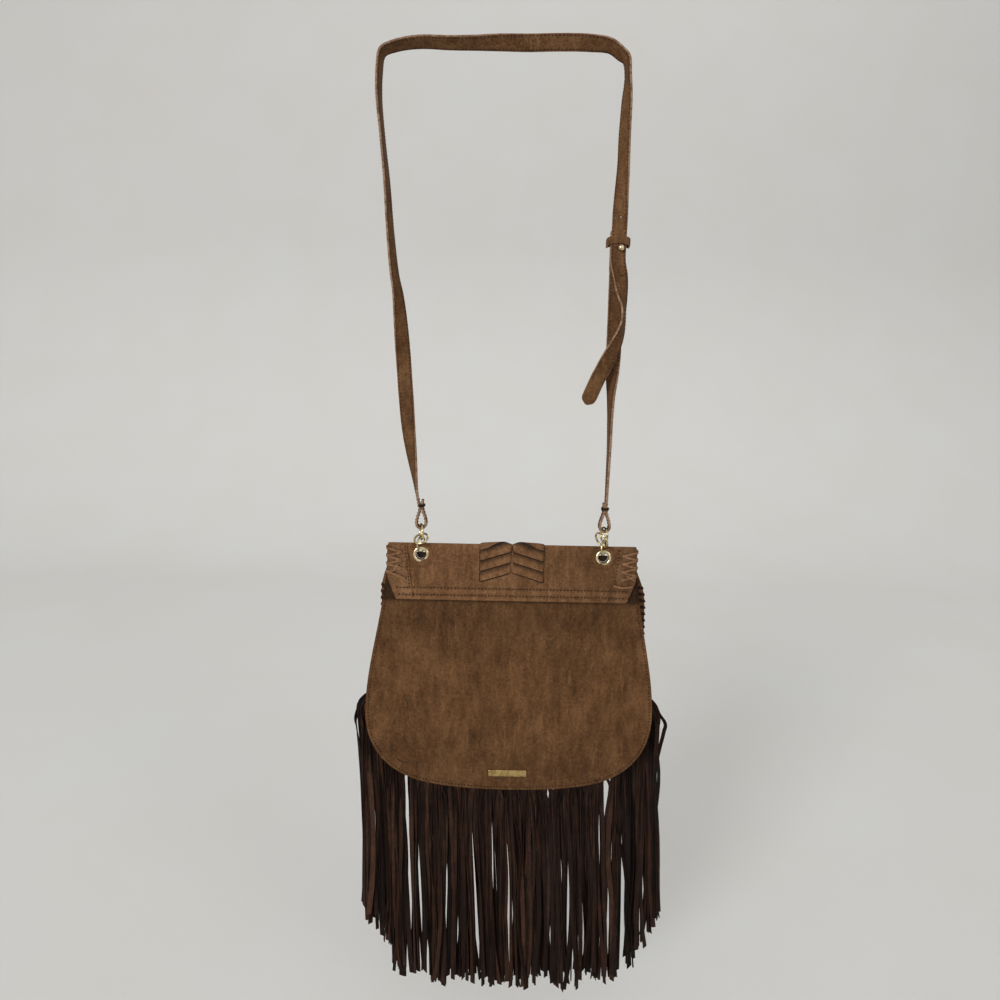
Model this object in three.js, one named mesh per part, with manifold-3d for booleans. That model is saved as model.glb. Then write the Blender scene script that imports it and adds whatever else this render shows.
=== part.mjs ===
// A fringed crossbody saddle bag that hangs by its strap.
// Millimetres, +Z up. The back of the bag faces -Y and the flap faces +Y.
// The origin is where the strap bears on what it hangs from, above the middle of the bag.

import * as THREE from 'three';
import { mergeVertices } from 'three/addons/utils/BufferGeometryUtils.js';
import Module from 'manifold-3d';

const wasm = await Module();
wasm.setup();

// Driving dimensions, in millimetres
const clearance = 0.3;

// Strap, from where it bears down to the crown of the upper rings
const strapDrop = 466;
const strapWidth = 15.5;
const strapThickness = 2.4;
const strapEndWidth = 8.6;
const strapTailLength = 26;
const strapHoleRadius = 1.1;

// Rings that link the strap to the bag
const ringRadius = 8.3;
const ringWire = 1.1;
const ringSpacing = 13.6;
const ringBite = 2.2;
const upperRingYaw = 16;
const lowerRingYaw = -23;
const smallRingRadius = 7.4;

// Leather of the bag
const panelThickness = 1.6;
const bandThickness = 1.6;
const gussetThickness = 1.4;
const patchThickness = 0.9;

// Body, measured down from the ridge
const bagHeight = 277;
const ridgeHalfWidth = 132;
const wideHalfWidth = 156.7;
const wideDrop = 190;
const bodyDepth = 42;
const mouthDrop = 60;
const seamInset = 3;
const gussetRise = 12;
const wedgeCurve = 1.8;

// Flap band over the ridge, and the flap in front
const bandDrop = 61;
const chamferDrop = 37;
const chamferWidth = 9.5;
const hingeDrop = 24;
const hingeGap = 0.8;
const flapDrop = 230;
const flapWideHalfWidth = 148;
const flapWideShare = 0.66;
const flapFlare = 9;
const flapGap = 4.2;

// Eyelets through the ridge
const eyeletX = 96.5;
const eyeletDrop = 12;
const eyeletHoleRadius = 5.4;
const eyeletBarrelWall = 0.5;
const eyeletFlangeWidth = 2.5;
const eyeletFlangeThickness = 0.8;
const eyeletBevel = 0.3;
const eyeletEdge = 0.6;

// Corner patches and the lace over them
const patchWidth = 20.5;
const patchTaper = 6.5;
const patchMargin = 2;
const laceWidth = 3;
const laceThickness = 0.8;
const laceReach = 15;
const laceTeeth = 5;
const laceFirstDrop = 4;
const laceOverrun = 2.1;

// Chevron of laced strips on the band
const chevronHalfWidth = 34;
const chevronRows = 4;
const chevronPitch = 11.35;
const chevronSlit = 0.95;
const chevronRise = 10.5;
const chevronThickness = 0.9;
const chevronFirstDrop = 5.5;
const chevronTopMargin = 0.4;

// Fringe: its header, its strips and where they end
const headerWidth = 9;
const headerThickness = 1.4;
const headerEnd = 1;
const headerGap = 3;
const stripWidth = 4.2;
const stripThickness = 0.9;
const stripRoot = 1.5;
const stripTuck = 3;
const fringeLean = 0.035;
const sideFringeTop = 178;
const centreFringeHalfWidth = 118;
const centreStripCount = 34;
const sideStripCount = 11;
const sideStripPitch = 4.9;
const sideFringeSpread = 15;
const sideRootMargin = 4;
const sideRootCurve = 0.8;
const sideFringeFoot = 432;
const sideFootCurve = 0.7;
const sideFootRise = 12;
const sideRaggedShare = 0.6;
const fringeFoot = 548;
const fringeFootRise = 14;

// How a strip leaves its seam, as [share of its way out, distance down]
const stripBend = [[0.35, 2], [0.85, 12], [1, 34]];

// How far the strips' ends differ, as [length, step of the angle from one strip to the next]
const raggedWaves = [[9, 2.4], [5, 5.1]];

// Closure and plate
const snapRadius = 9;
const snapDrop = 172;
const snapThickness = 1.5;
const snapRelief = 0.05;
const plateLength = 42;
const plateHeight = 7.5;
const plateThickness = 1.2;
const plateRise = 20;

// Stud, and the fold and keeper that are placed from it
const studRadius = 3.2;
const studDrop = 183;
const studNeckRadius = 1.4;
const studFootRadius = 4;
const studFootThickness = 1;
const studBallSink = 0.3;
const studBallTurn = 2.6;
const foldX = 98.8;
const studOffset = 2.2;
const foldRise = 15;
const foldTail = 22;
const foldRoot = 12.7;
const keeperRise = 11.5;
const keeperHeight = 7;
const keeperThickness = 1.6;
const keeperSlack = 2.6;
const keeperCorner = 1.2;

// Free holes of the long strap, as [x past the fold's middle, drop past the stud]
const strapHoles = [[1.4, -31], [4.7, 26]];

// Heights that follow from the sizes above
const ringTopZ = -strapDrop;
const upperRingZ = ringTopZ - ringRadius;
const lowerRingZ = upperRingZ - ringSpacing;
const wirePath = ringRadius - ringWire;
const ridgeZ = lowerRingZ - wirePath + eyeletDrop - eyeletHoleRadius + ringBite;
const plateDrop = bagHeight - plateRise;
const keeperDrop = studDrop - keeperRise;
const foldTopDrop = studDrop - foldRise;
const foldTailDrop = studDrop + foldTail;
const foldRootDrop = studDrop + foldRoot;
const studX = foldX + studOffset;

// Reach of a tool that cuts right through, and rows and columns of a panel
const toolReach = 30;
const panelRows = 22;
const flapRows = 26;
const panelColumns = 2;

// Layers of the ridge, outwards from the middle of the back panel at y = 0
const panelFace = panelThickness / 2;
const bandInner = panelFace + clearance;
const bandOuter = bandInner + bandThickness;
const trimInner = bandOuter + clearance;
const frontStart = bandInner;

const materials = {
  suede: { color: 0x5e4129, roughness: 0.85, metalness: 0 },
  band: { color: 0x6a4c32, roughness: 0.8, metalness: 0 },
  strap: { color: 0x533c24, roughness: 0.7, metalness: 0 },
  fringe: { color: 0x291d15, roughness: 0.9, metalness: 0 },
  brass: { color: 0xd8c79a, roughness: 0.25, metalness: 1 },
};

const bag = new THREE.Group();

// Adds a closed body to the model under its own name
function addMesh(name, geometry, material, parent = bag) {
  const mesh = new THREE.Mesh(geometry, new THREE.MeshStandardMaterial(materials[material]));
  mesh.name = name;
  parent.add(mesh);
  return mesh;
}

// Six times the volume that a triangle's corners close off from the origin
function signedVolume(array, a, b, c) {
  const [p, q, r] = [a, b, c].map((i) => new THREE.Vector3().fromArray(array, 3 * i));
  return p.dot(q.cross(r));
}

// Geometry from a list of triangles that close a body, facing outwards and without flat triangles
function fromTriangles(positions, triangles) {
  const raw = new THREE.BufferGeometry();
  raw.setAttribute('position', new THREE.Float32BufferAttribute(positions, 3));
  raw.setIndex(triangles);
  const merged = mergeVertices(raw, 1e-3);
  const index = merged.getIndex().array;
  const kept = [];
  for (let i = 0; i < index.length; i += 3) {
    const [a, b, c] = [index[i], index[i + 1], index[i + 2]];
    if (a !== b && b !== c && c !== a) kept.push(a, b, c);
  }
  const points = merged.getAttribute('position').array;
  let volume = 0;
  for (let i = 0; i < kept.length; i += 3) volume += signedVolume(points, kept[i], kept[i + 1], kept[i + 2]);
  merged.setIndex(volume < 0 ? kept.reverse() : kept);
  return merged;
}

// A manifold solid from a geometry, for joining and cutting
function toSolid(geometry) {
  const bare = geometry.clone();
  bare.deleteAttribute('normal');
  bare.deleteAttribute('uv');
  const merged = mergeVertices(bare, 1e-4);
  return new wasm.Manifold(new wasm.Mesh({
    numProp: 3,
    vertProperties: new Float32Array(merged.getAttribute('position').array),
    triVerts: new Uint32Array(merged.getIndex().array),
  }));
}

function fromSolid(solid) {
  const mesh = solid.getMesh();
  return fromTriangles(Array.from(mesh.vertProperties), Array.from(mesh.triVerts));
}

function cut(geometry, tools) {
  return fromSolid(tools.reduce((solid, tool) => solid.subtract(toSolid(tool)), toSolid(geometry)));
}

function join(geometries) {
  return fromSolid(geometries.slice(1).reduce((solid, next) => solid.add(toSolid(next)), toSolid(geometries[0])));
}

// A closed sheet between two grids of points; the far grid lies behind the near one
function sheet(near, far) {
  const rows = near.length;
  const columns = near[0].length;
  const positions = [];
  for (const grid of [near, far]) {
    for (const row of grid) for (const p of row) positions.push(p.x, p.y, p.z);
  }
  const at = (side, i, j) => side * rows * columns + i * columns + j;
  const triangles = [];
  const quad = (a, b, c, d) => triangles.push(a, b, c, a, c, d);
  for (let i = 0; i < rows - 1; i += 1) {
    for (let j = 0; j < columns - 1; j += 1) {
      quad(at(0, i, j), at(0, i + 1, j), at(0, i + 1, j + 1), at(0, i, j + 1));
      quad(at(1, i, j), at(1, i, j + 1), at(1, i + 1, j + 1), at(1, i + 1, j));
    }
  }
  for (let i = 0; i < rows - 1; i += 1) {
    quad(at(0, i, 0), at(1, i, 0), at(1, i + 1, 0), at(0, i + 1, 0));
    quad(at(0, i, columns - 1), at(0, i + 1, columns - 1), at(1, i + 1, columns - 1), at(1, i, columns - 1));
  }
  for (let j = 0; j < columns - 1; j += 1) {
    quad(at(0, 0, j), at(0, 0, j + 1), at(1, 0, j + 1), at(1, 0, j));
    quad(at(0, rows - 1, j), at(1, rows - 1, j), at(1, rows - 1, j + 1), at(0, rows - 1, j + 1));
  }
  return fromTriangles(positions, triangles);
}

// A bar of four-cornered section through a list of rings of four corners
function loft(sections) {
  const positions = sections.flat().flatMap((p) => [p.x, p.y, p.z]);
  const triangles = [];
  const quad = (a, b, c, d) => triangles.push(a, b, c, a, c, d);
  for (let i = 0; i < sections.length - 1; i += 1) {
    for (let k = 0; k < 4; k += 1) {
      const next = (k + 1) % 4;
      quad(4 * i + k, 4 * i + next, 4 * i + 4 + next, 4 * i + 4 + k);
    }
  }
  const last = 4 * (sections.length - 1);
  quad(3, 2, 1, 0);
  quad(last, last + 1, last + 2, last + 3);
  return fromTriangles(positions, triangles);
}

const backwards = new THREE.Vector3(0, -1, 0);

// A flat strip along a curve: turn is 0 where its face looks to -Y and 90 where its edge does
function ribbon(curve, steps, width, thickness, turn) {
  const sections = [];
  for (let i = 0; i <= steps; i += 1) {
    const u = i / steps;
    const centre = curve.getPoint(u);
    const tangent = curve.getTangent(u);
    const side = new THREE.Vector3().crossVectors(tangent, backwards).normalize();
    const angle = THREE.MathUtils.degToRad(turn(u));
    const across = side.clone().multiplyScalar(Math.cos(angle)).addScaledVector(backwards, Math.sin(angle));
    across.addScaledVector(tangent, -across.dot(tangent)).normalize();
    const out = new THREE.Vector3().crossVectors(tangent, across).normalize();
    const w = width(u) / 2;
    const t = thickness / 2;
    const corner = (a, b) => centre.clone().addScaledVector(across, a).addScaledVector(out, b);
    sections.push([corner(-w, -t), corner(w, -t), corner(w, t), corner(-w, t)]);
  }
  return loft(sections);
}

// Straight-line reading of a table of [place, value] pairs
function readTable(table, place) {
  if (place <= table[0][0]) return table[0][1];
  for (let i = 1; i < table.length; i += 1) {
    const [x1, y1] = table[i];
    const [x0, y0] = table[i - 1];
    if (place <= x1) return y0 + ((y1 - y0) * (place - x0)) / (x1 - x0);
  }
  return table[table.length - 1][1];
}

// Right-hand edge of a bell-shaped panel, as points (x, drop), from the top to the middle of its foot
function bellEdge(topHalf, wideHalf, wideAt, height) {
  const v = (x, y) => new THREE.Vector2(x, y);
  const low = height - wideAt;
  const path = new THREE.CurvePath();
  const knee = v(0.625 * wideHalf, wideAt + 0.895 * low);
  path.add(new THREE.CubicBezierCurve(
    v(topHalf, 0), v(topHalf - 1, 0.347 * wideAt), v(wideHalf, 0.684 * wideAt), v(wideHalf, wideAt)));
  path.add(new THREE.CubicBezierCurve(
    v(wideHalf, wideAt), v(wideHalf, wideAt + 0.488 * low), v(0.842 * wideHalf, wideAt + 0.779 * low), knee));
  path.add(new THREE.CubicBezierCurve(
    knee, v(0.447 * wideHalf, wideAt + 0.977 * low), v(0.23 * wideHalf, height), v(0, height)));
  return path.curves.flatMap((curve, i) => curve.getPoints(16).slice(i === 0 ? 0 : 1));
}

const bodyEdge = bellEdge(ridgeHalfWidth, wideHalfWidth, wideDrop, bagHeight);
const bodyTable = bodyEdge.map((p) => [p.y, p.x]);
const flapEdge = bellEdge(ridgeHalfWidth + flapFlare, flapWideHalfWidth, flapDrop * flapWideShare, flapDrop);
const flapTable = flapEdge.map((p) => [p.y, p.x]);

// Half-width of the flap: it widens just below the ridge and then follows its own bell
function flapHalfWidth(drop) {
  const spread = Math.min(1, Math.max(0, (drop - hingeDrop) / (mouthDrop - hingeDrop)));
  return readTable(flapTable, drop) - flapFlare * (1 - Math.sin((spread * Math.PI) / 2));
}

// Inner face of the flap, as y at a drop: flat at the hinge, then out over the body
function flapInnerY(drop) {
  const u = Math.min(1, Math.max(0, (drop - hingeDrop) / (bagHeight - hingeDrop)));
  return frontStart + (bodyDepth + flapGap) * (1 - (1 - u) ** wedgeCurve);
}

const frontOuterY = (drop) => flapInnerY(drop) - flapGap;
const frontInnerY = (drop) => frontOuterY(drop) - panelThickness;
const headerInnerY = (drop) => frontInnerY(drop) - clearance - headerThickness;

// Rows of a panel, closer together towards its foot
function rowDrops(from, to, count) {
  return Array.from({ length: count + 1 }, (_, i) => from + (to - from) * Math.sin((i / count) * (Math.PI / 2)));
}

// A panel that spans its outline at each drop, with its two faces given as y
function panel(drops, halfWidthAt, nearY, farY) {
  const grid = (faceY) => drops.map((drop) => Array.from({ length: panelColumns + 1 }, (_, j) => {
    const x = (2 * j / panelColumns - 1) * halfWidthAt(drop);
    return new THREE.Vector3(x, faceY(drop), ridgeZ - drop);
  }));
  return sheet(grid(nearY), grid(farY));
}

function cylinderY(radius, fromY, toY, x, z, sides = 24) {
  const geometry = new THREE.CylinderGeometry(radius, radius, toY - fromY, sides);
  geometry.translate(x, (fromY + toY) / 2, z);
  return geometry;
}

function box(width, depth, height, x, y, z) {
  const geometry = new THREE.BoxGeometry(width, depth, height);
  geometry.translate(x, y, z);
  return geometry;
}

const sides = [['left', -1], ['right', 1]];
const eyeletZ = ridgeZ - eyeletDrop;
const holeTools = sides.map(([, s]) => cylinderY(
  eyeletHoleRadius + eyeletBarrelWall + clearance, -toolReach, toolReach, s * eyeletX, eyeletZ));

// Back panel
const bodyHalfWidth = (drop) => readTable(bodyTable, drop);
const backDrops = rowDrops(bandOuter, bagHeight, panelRows);
const backPanel = panel(backDrops, bodyHalfWidth, () => -panelFace, () => panelFace);
addMesh('back_panel', cut(backPanel, holeTools), 'suede');

// Front panel, from the mouth down
const frontDrops = rowDrops(mouthDrop, bagHeight, panelRows);
addMesh('front_panel', panel(frontDrops, bodyHalfWidth, frontInnerY, frontOuterY), 'suede');

// Gusset: one strip down one side, along the bottom and up the other
const gussetTop = mouthDrop - gussetRise;
function insetEdge(inset) {
  const points = bodyEdge.filter((p) => p.y >= gussetTop);
  const normals = points.map((p, i) => {
    const before = points[Math.max(0, i - 1)];
    const after = points[Math.min(points.length - 1, i + 1)];
    const t = new THREE.Vector2().subVectors(after, before).normalize();
    return new THREE.Vector2(t.y, -t.x);
  });
  normals[points.length - 1].set(0, 1);
  return points.map((p, i) => new THREE.Vector2(
    Math.max(0, p.x - inset * Math.abs(normals[i].x)), p.y - inset * Math.abs(normals[i].y)));
}

function gussetLine(inset) {
  const right = insetEdge(inset).filter((_, i, all) => i % 2 === 0 || i === all.length - 1);
  const left = right.slice(0, -1).map((p) => new THREE.Vector2(-p.x, p.y));
  return [...left, ...right.reverse()];
}

const outerLine = gussetLine(seamInset);
const innerLine = gussetLine(seamInset + gussetThickness);
const gussetBackY = panelFace + clearance;
const gussetSections = outerLine.map((outer, i) => {
  const inner = innerLine[i];
  const frontY = headerInnerY(outer.y) - clearance;
  return [
    new THREE.Vector3(outer.x, gussetBackY, ridgeZ - outer.y),
    new THREE.Vector3(outer.x, frontY, ridgeZ - outer.y),
    new THREE.Vector3(inner.x, frontY, ridgeZ - inner.y),
    new THREE.Vector3(inner.x, gussetBackY, ridgeZ - inner.y),
  ];
});
addMesh('gusset', loft(gussetSections), 'suede');

// Flap band: sewn on the back, over the ridge and down to the hinge line
function bandHalfWidth(drop) {
  const past = Math.max(0, drop - chamferDrop) / (bandDrop - chamferDrop);
  return ridgeHalfWidth - chamferWidth * past;
}

const between = (from, to, shares) => shares.map((share) => from + (to - from) * share);
const bandBackDrops = [
  ...between(bandDrop, chamferDrop, [0, 0.3, 0.62]), ...between(chamferDrop, bandOuter, [0, 0.38, 0.73, 1])];
const turnAngles = [15, 45, 75, 105, 135, 165];
const bandGrid = (radius) => {
  const rows = bandBackDrops.map((drop) => [-radius, drop, bandHalfWidth(drop)]);
  for (const angle of turnAngles) {
    const a = THREE.MathUtils.degToRad(angle);
    rows.push([-radius * Math.cos(a), bandOuter - radius * Math.sin(a), ridgeHalfWidth]);
  }
  rows.push([radius, bandOuter, ridgeHalfWidth], [radius, hingeDrop, ridgeHalfWidth]);
  return rows.map(([y, drop, half]) => [-1, 0, 1].map((s) => new THREE.Vector3(s * half, y, ridgeZ - drop)));
};
addMesh('flap_band', cut(sheet(bandGrid(bandOuter), bandGrid(bandInner)), holeTools), 'band');

// Flap, in front of the body; it turns about the line where it leaves the band
const flapTop = hingeDrop + hingeGap;
const flap = new THREE.Group();
bag.add(flap);
const flapDrops = rowDrops(flapTop, flapDrop, flapRows);
addMesh('flap_front', panel(flapDrops, flapHalfWidth, flapInnerY, (d) => flapInnerY(d) + bandThickness), 'band', flap);

// Corner patches over the two ends of the band
const patchOuter = trimInner + patchThickness;
const patchFoot = bandDrop - patchMargin;
for (const [side, s] of sides) {
  const drops = [patchMargin, chamferDrop, patchFoot];
  const grid = (y) => drops.map((drop) => {
    const inner = ridgeHalfWidth - patchWidth - (patchTaper * drop) / patchFoot;
    const xs = [inner, bandHalfWidth(drop)];
    if (s < 0) xs.reverse();
    return xs.map((x) => new THREE.Vector3(s * x, y, ridgeZ - drop));
  });
  addMesh(`corner_patch_${side}`, sheet(grid(-patchOuter), grid(-trimInner)), 'band');
}

// Whip lace: it zigzags over each patch and passes round the side edge of the ridge
function flatBar(x0, drop0, x1, drop1, y) {
  const length = Math.hypot(x1 - x0, drop1 - drop0) + laceOverrun;
  const bar = new THREE.BoxGeometry(length, laceThickness, laceWidth);
  bar.rotateY(Math.atan2(drop1 - drop0, x1 - x0));
  bar.translate((x0 + x1) / 2, y, ridgeZ - (drop0 + drop1) / 2);
  return bar;
}

const laceY = -(patchOuter + clearance + laceThickness / 2);
const laceEdge = readTable(bodyTable, chamferDrop + laceWidth) + clearance + laceThickness / 2;
for (const [side, s] of sides) {
  const pitch = (chamferDrop - laceFirstDrop) / (laceTeeth - 1);
  const bars = [];
  for (let i = 0; i < laceTeeth; i += 1) {
    const drop = laceFirstDrop + i * pitch;
    const frontY = drop + laceWidth < hingeDrop ? bandOuter : panelFace;
    const backY = laceY - laceThickness / 2;
    bars.push(box(laceThickness, frontY - backY, laceWidth, s * laceEdge, (frontY + backY) / 2, ridgeZ - drop));
    bars.push(flatBar(s * laceEdge, drop, s * (ridgeHalfWidth - laceReach), drop + pitch / 2, laceY));
    if (i < laceTeeth - 1) {
      bars.push(flatBar(s * (ridgeHalfWidth - laceReach), drop + pitch / 2, s * laceEdge, drop + pitch, laceY));
    }
  }
  addMesh(`whip_lace_${side}`, join(bars), 'band');
}

// The part of an outline that lies below a given drop
function clipBelow(corners, drop) {
  const kept = [];
  corners.forEach((here, i) => {
    const next = corners[(i + 1) % corners.length];
    if (here[1] >= drop) kept.push(here);
    if ((here[1] >= drop) !== (next[1] >= drop)) {
      const share = (drop - here[1]) / (next[1] - here[1]);
      kept.push([here[0] + share * (next[0] - here[0]), drop]);
    }
  });
  return kept;
}

// Chevron: two columns of slanting strips, laced through the middle of the band
const chevronHeight = chevronPitch - chevronSlit;
for (const [side, s] of sides) {
  for (let row = 0; row < chevronRows; row += 1) {
    const outerLow = chevronFirstDrop + row * chevronPitch;
    const innerLow = outerLow - chevronRise;
    const corners = [[clearance, innerLow], [chevronHalfWidth, outerLow],
      [chevronHalfWidth, outerLow - chevronHeight], [clearance, innerLow - chevronHeight]];
    const outline = clipBelow(corners, bandOuter + chevronTopMargin);
    const shape = new THREE.Shape(outline.map(([x, drop]) => new THREE.Vector2(s * x, -drop)));
    const strip = new THREE.ExtrudeGeometry(shape, { depth: chevronThickness, bevelEnabled: false });
    strip.rotateX(Math.PI / 2);
    strip.translate(0, -trimInner, ridgeZ);
    addMesh(`chevron_${side}_${row + 1}`, strip, 'band');
  }
}

// Eyelets: a flanged barrel from the back, and a washer that it is set over in front
function turned(profile, x, z) {
  const points = [...profile, profile[0]].map(([r, y]) => new THREE.Vector2(r, y));
  const geometry = new THREE.LatheGeometry(points, 24);
  geometry.translate(x, 0, z);
  return geometry;
}

const barrelOuter = eyeletHoleRadius + eyeletBarrelWall;
const flangeOuter = eyeletHoleRadius + eyeletFlangeWidth + eyeletBarrelWall;
const washerFront = trimInner + eyeletFlangeThickness;
for (const [side, s] of sides) {
  const flangeBack = -(trimInner + eyeletFlangeThickness);
  const eyelet = turned([
    [eyeletHoleRadius, washerFront], [eyeletHoleRadius, flangeBack + eyeletBevel],
    [eyeletHoleRadius + eyeletEdge, flangeBack], [flangeOuter - eyeletEdge, flangeBack],
    [flangeOuter, -trimInner - eyeletBevel], [flangeOuter, -trimInner],
    [barrelOuter, -trimInner], [barrelOuter, washerFront],
  ], s * eyeletX, eyeletZ);
  addMesh(`eyelet_${side}`, eyelet, 'brass');
  const washer = turned([
    [barrelOuter + clearance, trimInner], [flangeOuter, trimInner], [flangeOuter, washerFront - eyeletBevel],
    [flangeOuter - eyeletEdge, washerFront], [barrelOuter + clearance, washerFront],
  ], s * eyeletX, eyeletZ);
  addMesh(`eyelet_washer_${side}`, washer, 'brass');
}

// Rings: each lies in a plane near the one across the ridge, turned a little about the vertical
function ring(name, x, z, yaw) {
  const geometry = new THREE.TorusGeometry(ringRadius, ringWire, 8, 28);
  geometry.rotateY(Math.PI / 2);
  const mesh = addMesh(name, geometry, 'brass');
  mesh.rotation.z = THREE.MathUtils.degToRad(yaw);
  mesh.position.set(x, 0, z);
}

for (const [side, s] of sides) {
  ring(`ring_upper_${side}`, s * eyeletX, upperRingZ, upperRingYaw);
  ring(`ring_lower_${side}`, s * eyeletX, lowerRingZ, lowerRingYaw);
}

// A third ring hangs loose round each link: nearly level on the left, nearly upright on the right
function looseRing(name, x, radius, level, turn, offset) {
  const geometry = new THREE.TorusGeometry(radius, ringWire, 8, 28);
  if (!level) geometry.rotateY(Math.PI / 2);
  const mesh = addMesh(name, geometry, 'brass');
  mesh.rotation.order = 'ZYX';
  mesh.rotation.set(...turn.map(THREE.MathUtils.degToRad));
  mesh.position.set(x + offset[0], offset[1], lowerRingZ + offset[2]);
}

looseRing('ring_loose_left', -eyeletX, smallRingRadius, true, [27, -23, 11], [0.49, -5.81, 7.21]);
looseRing('ring_loose_right', eyeletX, ringRadius, false, [-11, -25, 33], [-3.49, -7.76, 9.94]);

// Strap end: a loop round the crown of the upper ring, as [x, rise] from the crown's wire
const layerOffset = (strapThickness + clearance) / 2;
const loopPath = [
  [4.3, 6.5], [5.1, 0.8], [3.6, -2.8], [0, -4.3], [-3.6, -2.8], [-5.1, 0.8], [-4.3, 6.5],
];
const loopNeck = 16;
const loopTaper = 0.05;

// Route of the long strap above its loop: [x, share of the drop below the bearing point]
const leftRoute = [
  [-99.5, 0.95], [-101.7, 0.925], [-104.2, 0.885], [-109.8, 0.793], [-113.1, 0.708], [-116.4, 0.612],
  [-121.3, 0.496], [-124.8, 0.454], [-129.3, 0.359], [-132.4, 0.265], [-136.6, 0.175], [-139.9, 0.098],
  [-139.6, 0.045],
];
const topRoute = [
  [-136.5, 4], [-125.3, 9.4], [-102.1, 13.6], [-71.2, 13.4], [-42.2, 14], [-23, 14.6], [5.9, 14.8],
  [34.8, 15.8], [63.8, 15.8], [84.1, 13.4], [94.5, 6.5],
];
const rightRoute = [
  [1.2, 0.013], [3.2, 0.045], [3.1, 0.092], [2.3, 0.161], [2.3, 0.221], [1.1, 0.288],
];
const topDrop = 8;

// Its lower end, past the stud, as [x past the fold's middle, drop past the stud]
const tailRoute = [
  [0.5, -22.2], [0.1, -2.2], [0.4, 12.7], [2.8, 26.7], [4.2, 43], [6.2, 59.3], [6, 74.2], [2, 89.1],
  [-7.4, 109.6], [-16.9, 129.7], [-27.2, 154.9],
];
const tailTip = [0.025, 0.55];

// How far the long strap stands out over the short one, as [drop past the stud, y past the overlap]
const overlapStart = -80.5;
const tailLift = [[-29.2, 0], [17.4, 0], [26.7, -2.5], [43, -7], [59.3, -10], [96.6, -12], [154.9, -6]];

// Route of the short strap above its loop, as [x past the fold's middle, share of the drop], then past the stud
const shortRoute = [[-1.2, 0.914], [-0.6, 0.824], [-0.8, 0.757], [-0.8, 0.7], [-0.4, 0.643]];
const shortUpperRoute = [[0, 89.1], [0, 50], [0, foldRoot]];
const shortTaper = 0.1;
const shortTurns = [90, 90, 90, 90, 90, 90, 90, 90, 90, 90, 88, 86, 84, 70, 30, 0, 0, 0];

// Turn of the strap's face along its route, as [share of the route, degrees]
const longX = -eyeletX;
const overlapY = -(strapThickness + clearance);
const liftTable = [[overlapStart, 0], ...tailLift.map(([past, y]) => [past, overlapY + y])];
const lifted = (x, drop) => new THREE.Vector3(foldX + x, readTable(liftTable, drop - studDrop), -drop);
const longPoints = [
  new THREE.Vector3(longX + layerOffset, 0, ringTopZ + strapTailLength),
  new THREE.Vector3(longX + layerOffset, 0, ringTopZ + loopNeck),
  ...loopPath.map(([x, rise]) => new THREE.Vector3(longX + x, 0, ringTopZ + rise)),
  new THREE.Vector3(longX - layerOffset, 0, ringTopZ + loopNeck),
  ...leftRoute.map(([x, share]) => new THREE.Vector3(x, 0, -share * strapDrop)),
  ...topRoute.map(([x, z]) => new THREE.Vector3(x, 0, z - topDrop)),
  ...rightRoute.map(([x, share]) => lifted(x, share * strapDrop)),
  ...tailRoute.map(([x, past]) => lifted(x, studDrop + past)),
];
const longCurve = new THREE.CatmullRomCurve3(longPoints, false, 'centripetal');
const longSteps = 140;

// The turn is given at the route's points, in the same order
const longTurns = [
  90, 90, 90, 90, 90, 90, 90, 90, 90, 90,
  85, 78, 63, 22, 0, -16, -56, -62, -67, -69, -82, -68, -66,
  -64, -62, -55, -60, -56, -42, -26, -20, -36, -60, -64,
  -75, -82, -60, -52, -50, -34, -4, 0, 0, 8, 35, 72, 70, 45, 15, 0, 0,
];
const turnTable = longTurns.map((turn, i) => [i / (longTurns.length - 1), turn]);
const loopShare = 10 / (longTurns.length - 1);
const [tipShare, tipWidthShare] = tailTip;
const longWidth = (u) => readTable([[0, strapEndWidth], [loopShare, strapEndWidth],
  [loopShare + loopTaper, strapWidth], [1 - tipShare, strapWidth], [1, strapWidth * tipWidthShare]], u);
const longStrap = ribbon(longCurve, longSteps, longWidth, strapThickness, (u) => readTable(turnTable, u));
const strapTool = (radius, x, drop) => cylinderY(radius, -toolReach, toolReach, x, -drop, 12);
const studTool = strapTool(studNeckRadius + clearance, studX, studDrop);
addMesh('strap_long', cut(longStrap, [
  ...strapHoles.map(([x, past]) => strapTool(strapHoleRadius, foldX + x, studDrop + past)), studTool,
]), 'strap');

// Short strap: from the right ring up behind the long one, then folded back over itself
const shortX = eyeletX;
const shortPoints = [
  new THREE.Vector3(shortX - layerOffset, 0, ringTopZ + strapTailLength),
  new THREE.Vector3(shortX - layerOffset, 0, ringTopZ + loopNeck),
  ...loopPath.map(([x, rise]) => new THREE.Vector3(shortX - x, 0, ringTopZ + rise)),
  new THREE.Vector3(shortX + layerOffset, 0, ringTopZ + loopNeck),
  ...shortRoute.map(([x, share]) => new THREE.Vector3(foldX + x, 0, -share * strapDrop)),
  ...shortUpperRoute.map(([x, past]) => new THREE.Vector3(foldX + x, 0, -studDrop - past)),
];
const shortCurve = new THREE.CatmullRomCurve3(shortPoints, false, 'centripetal');
const shortTurnTable = shortTurns.map((turn, i) => [i / (shortTurns.length - 1), turn]);
const shortLoopShare = 10 / (shortTurns.length - 1);
const shortWidth = (u) => readTable([[0, strapEndWidth], [shortLoopShare, strapEndWidth],
  [shortLoopShare + shortTaper, strapWidth], [1, strapWidth]], u);
const shortRibbon = ribbon(shortCurve, 54, shortWidth, strapThickness, (u) => readTable(shortTurnTable, u));

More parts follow.
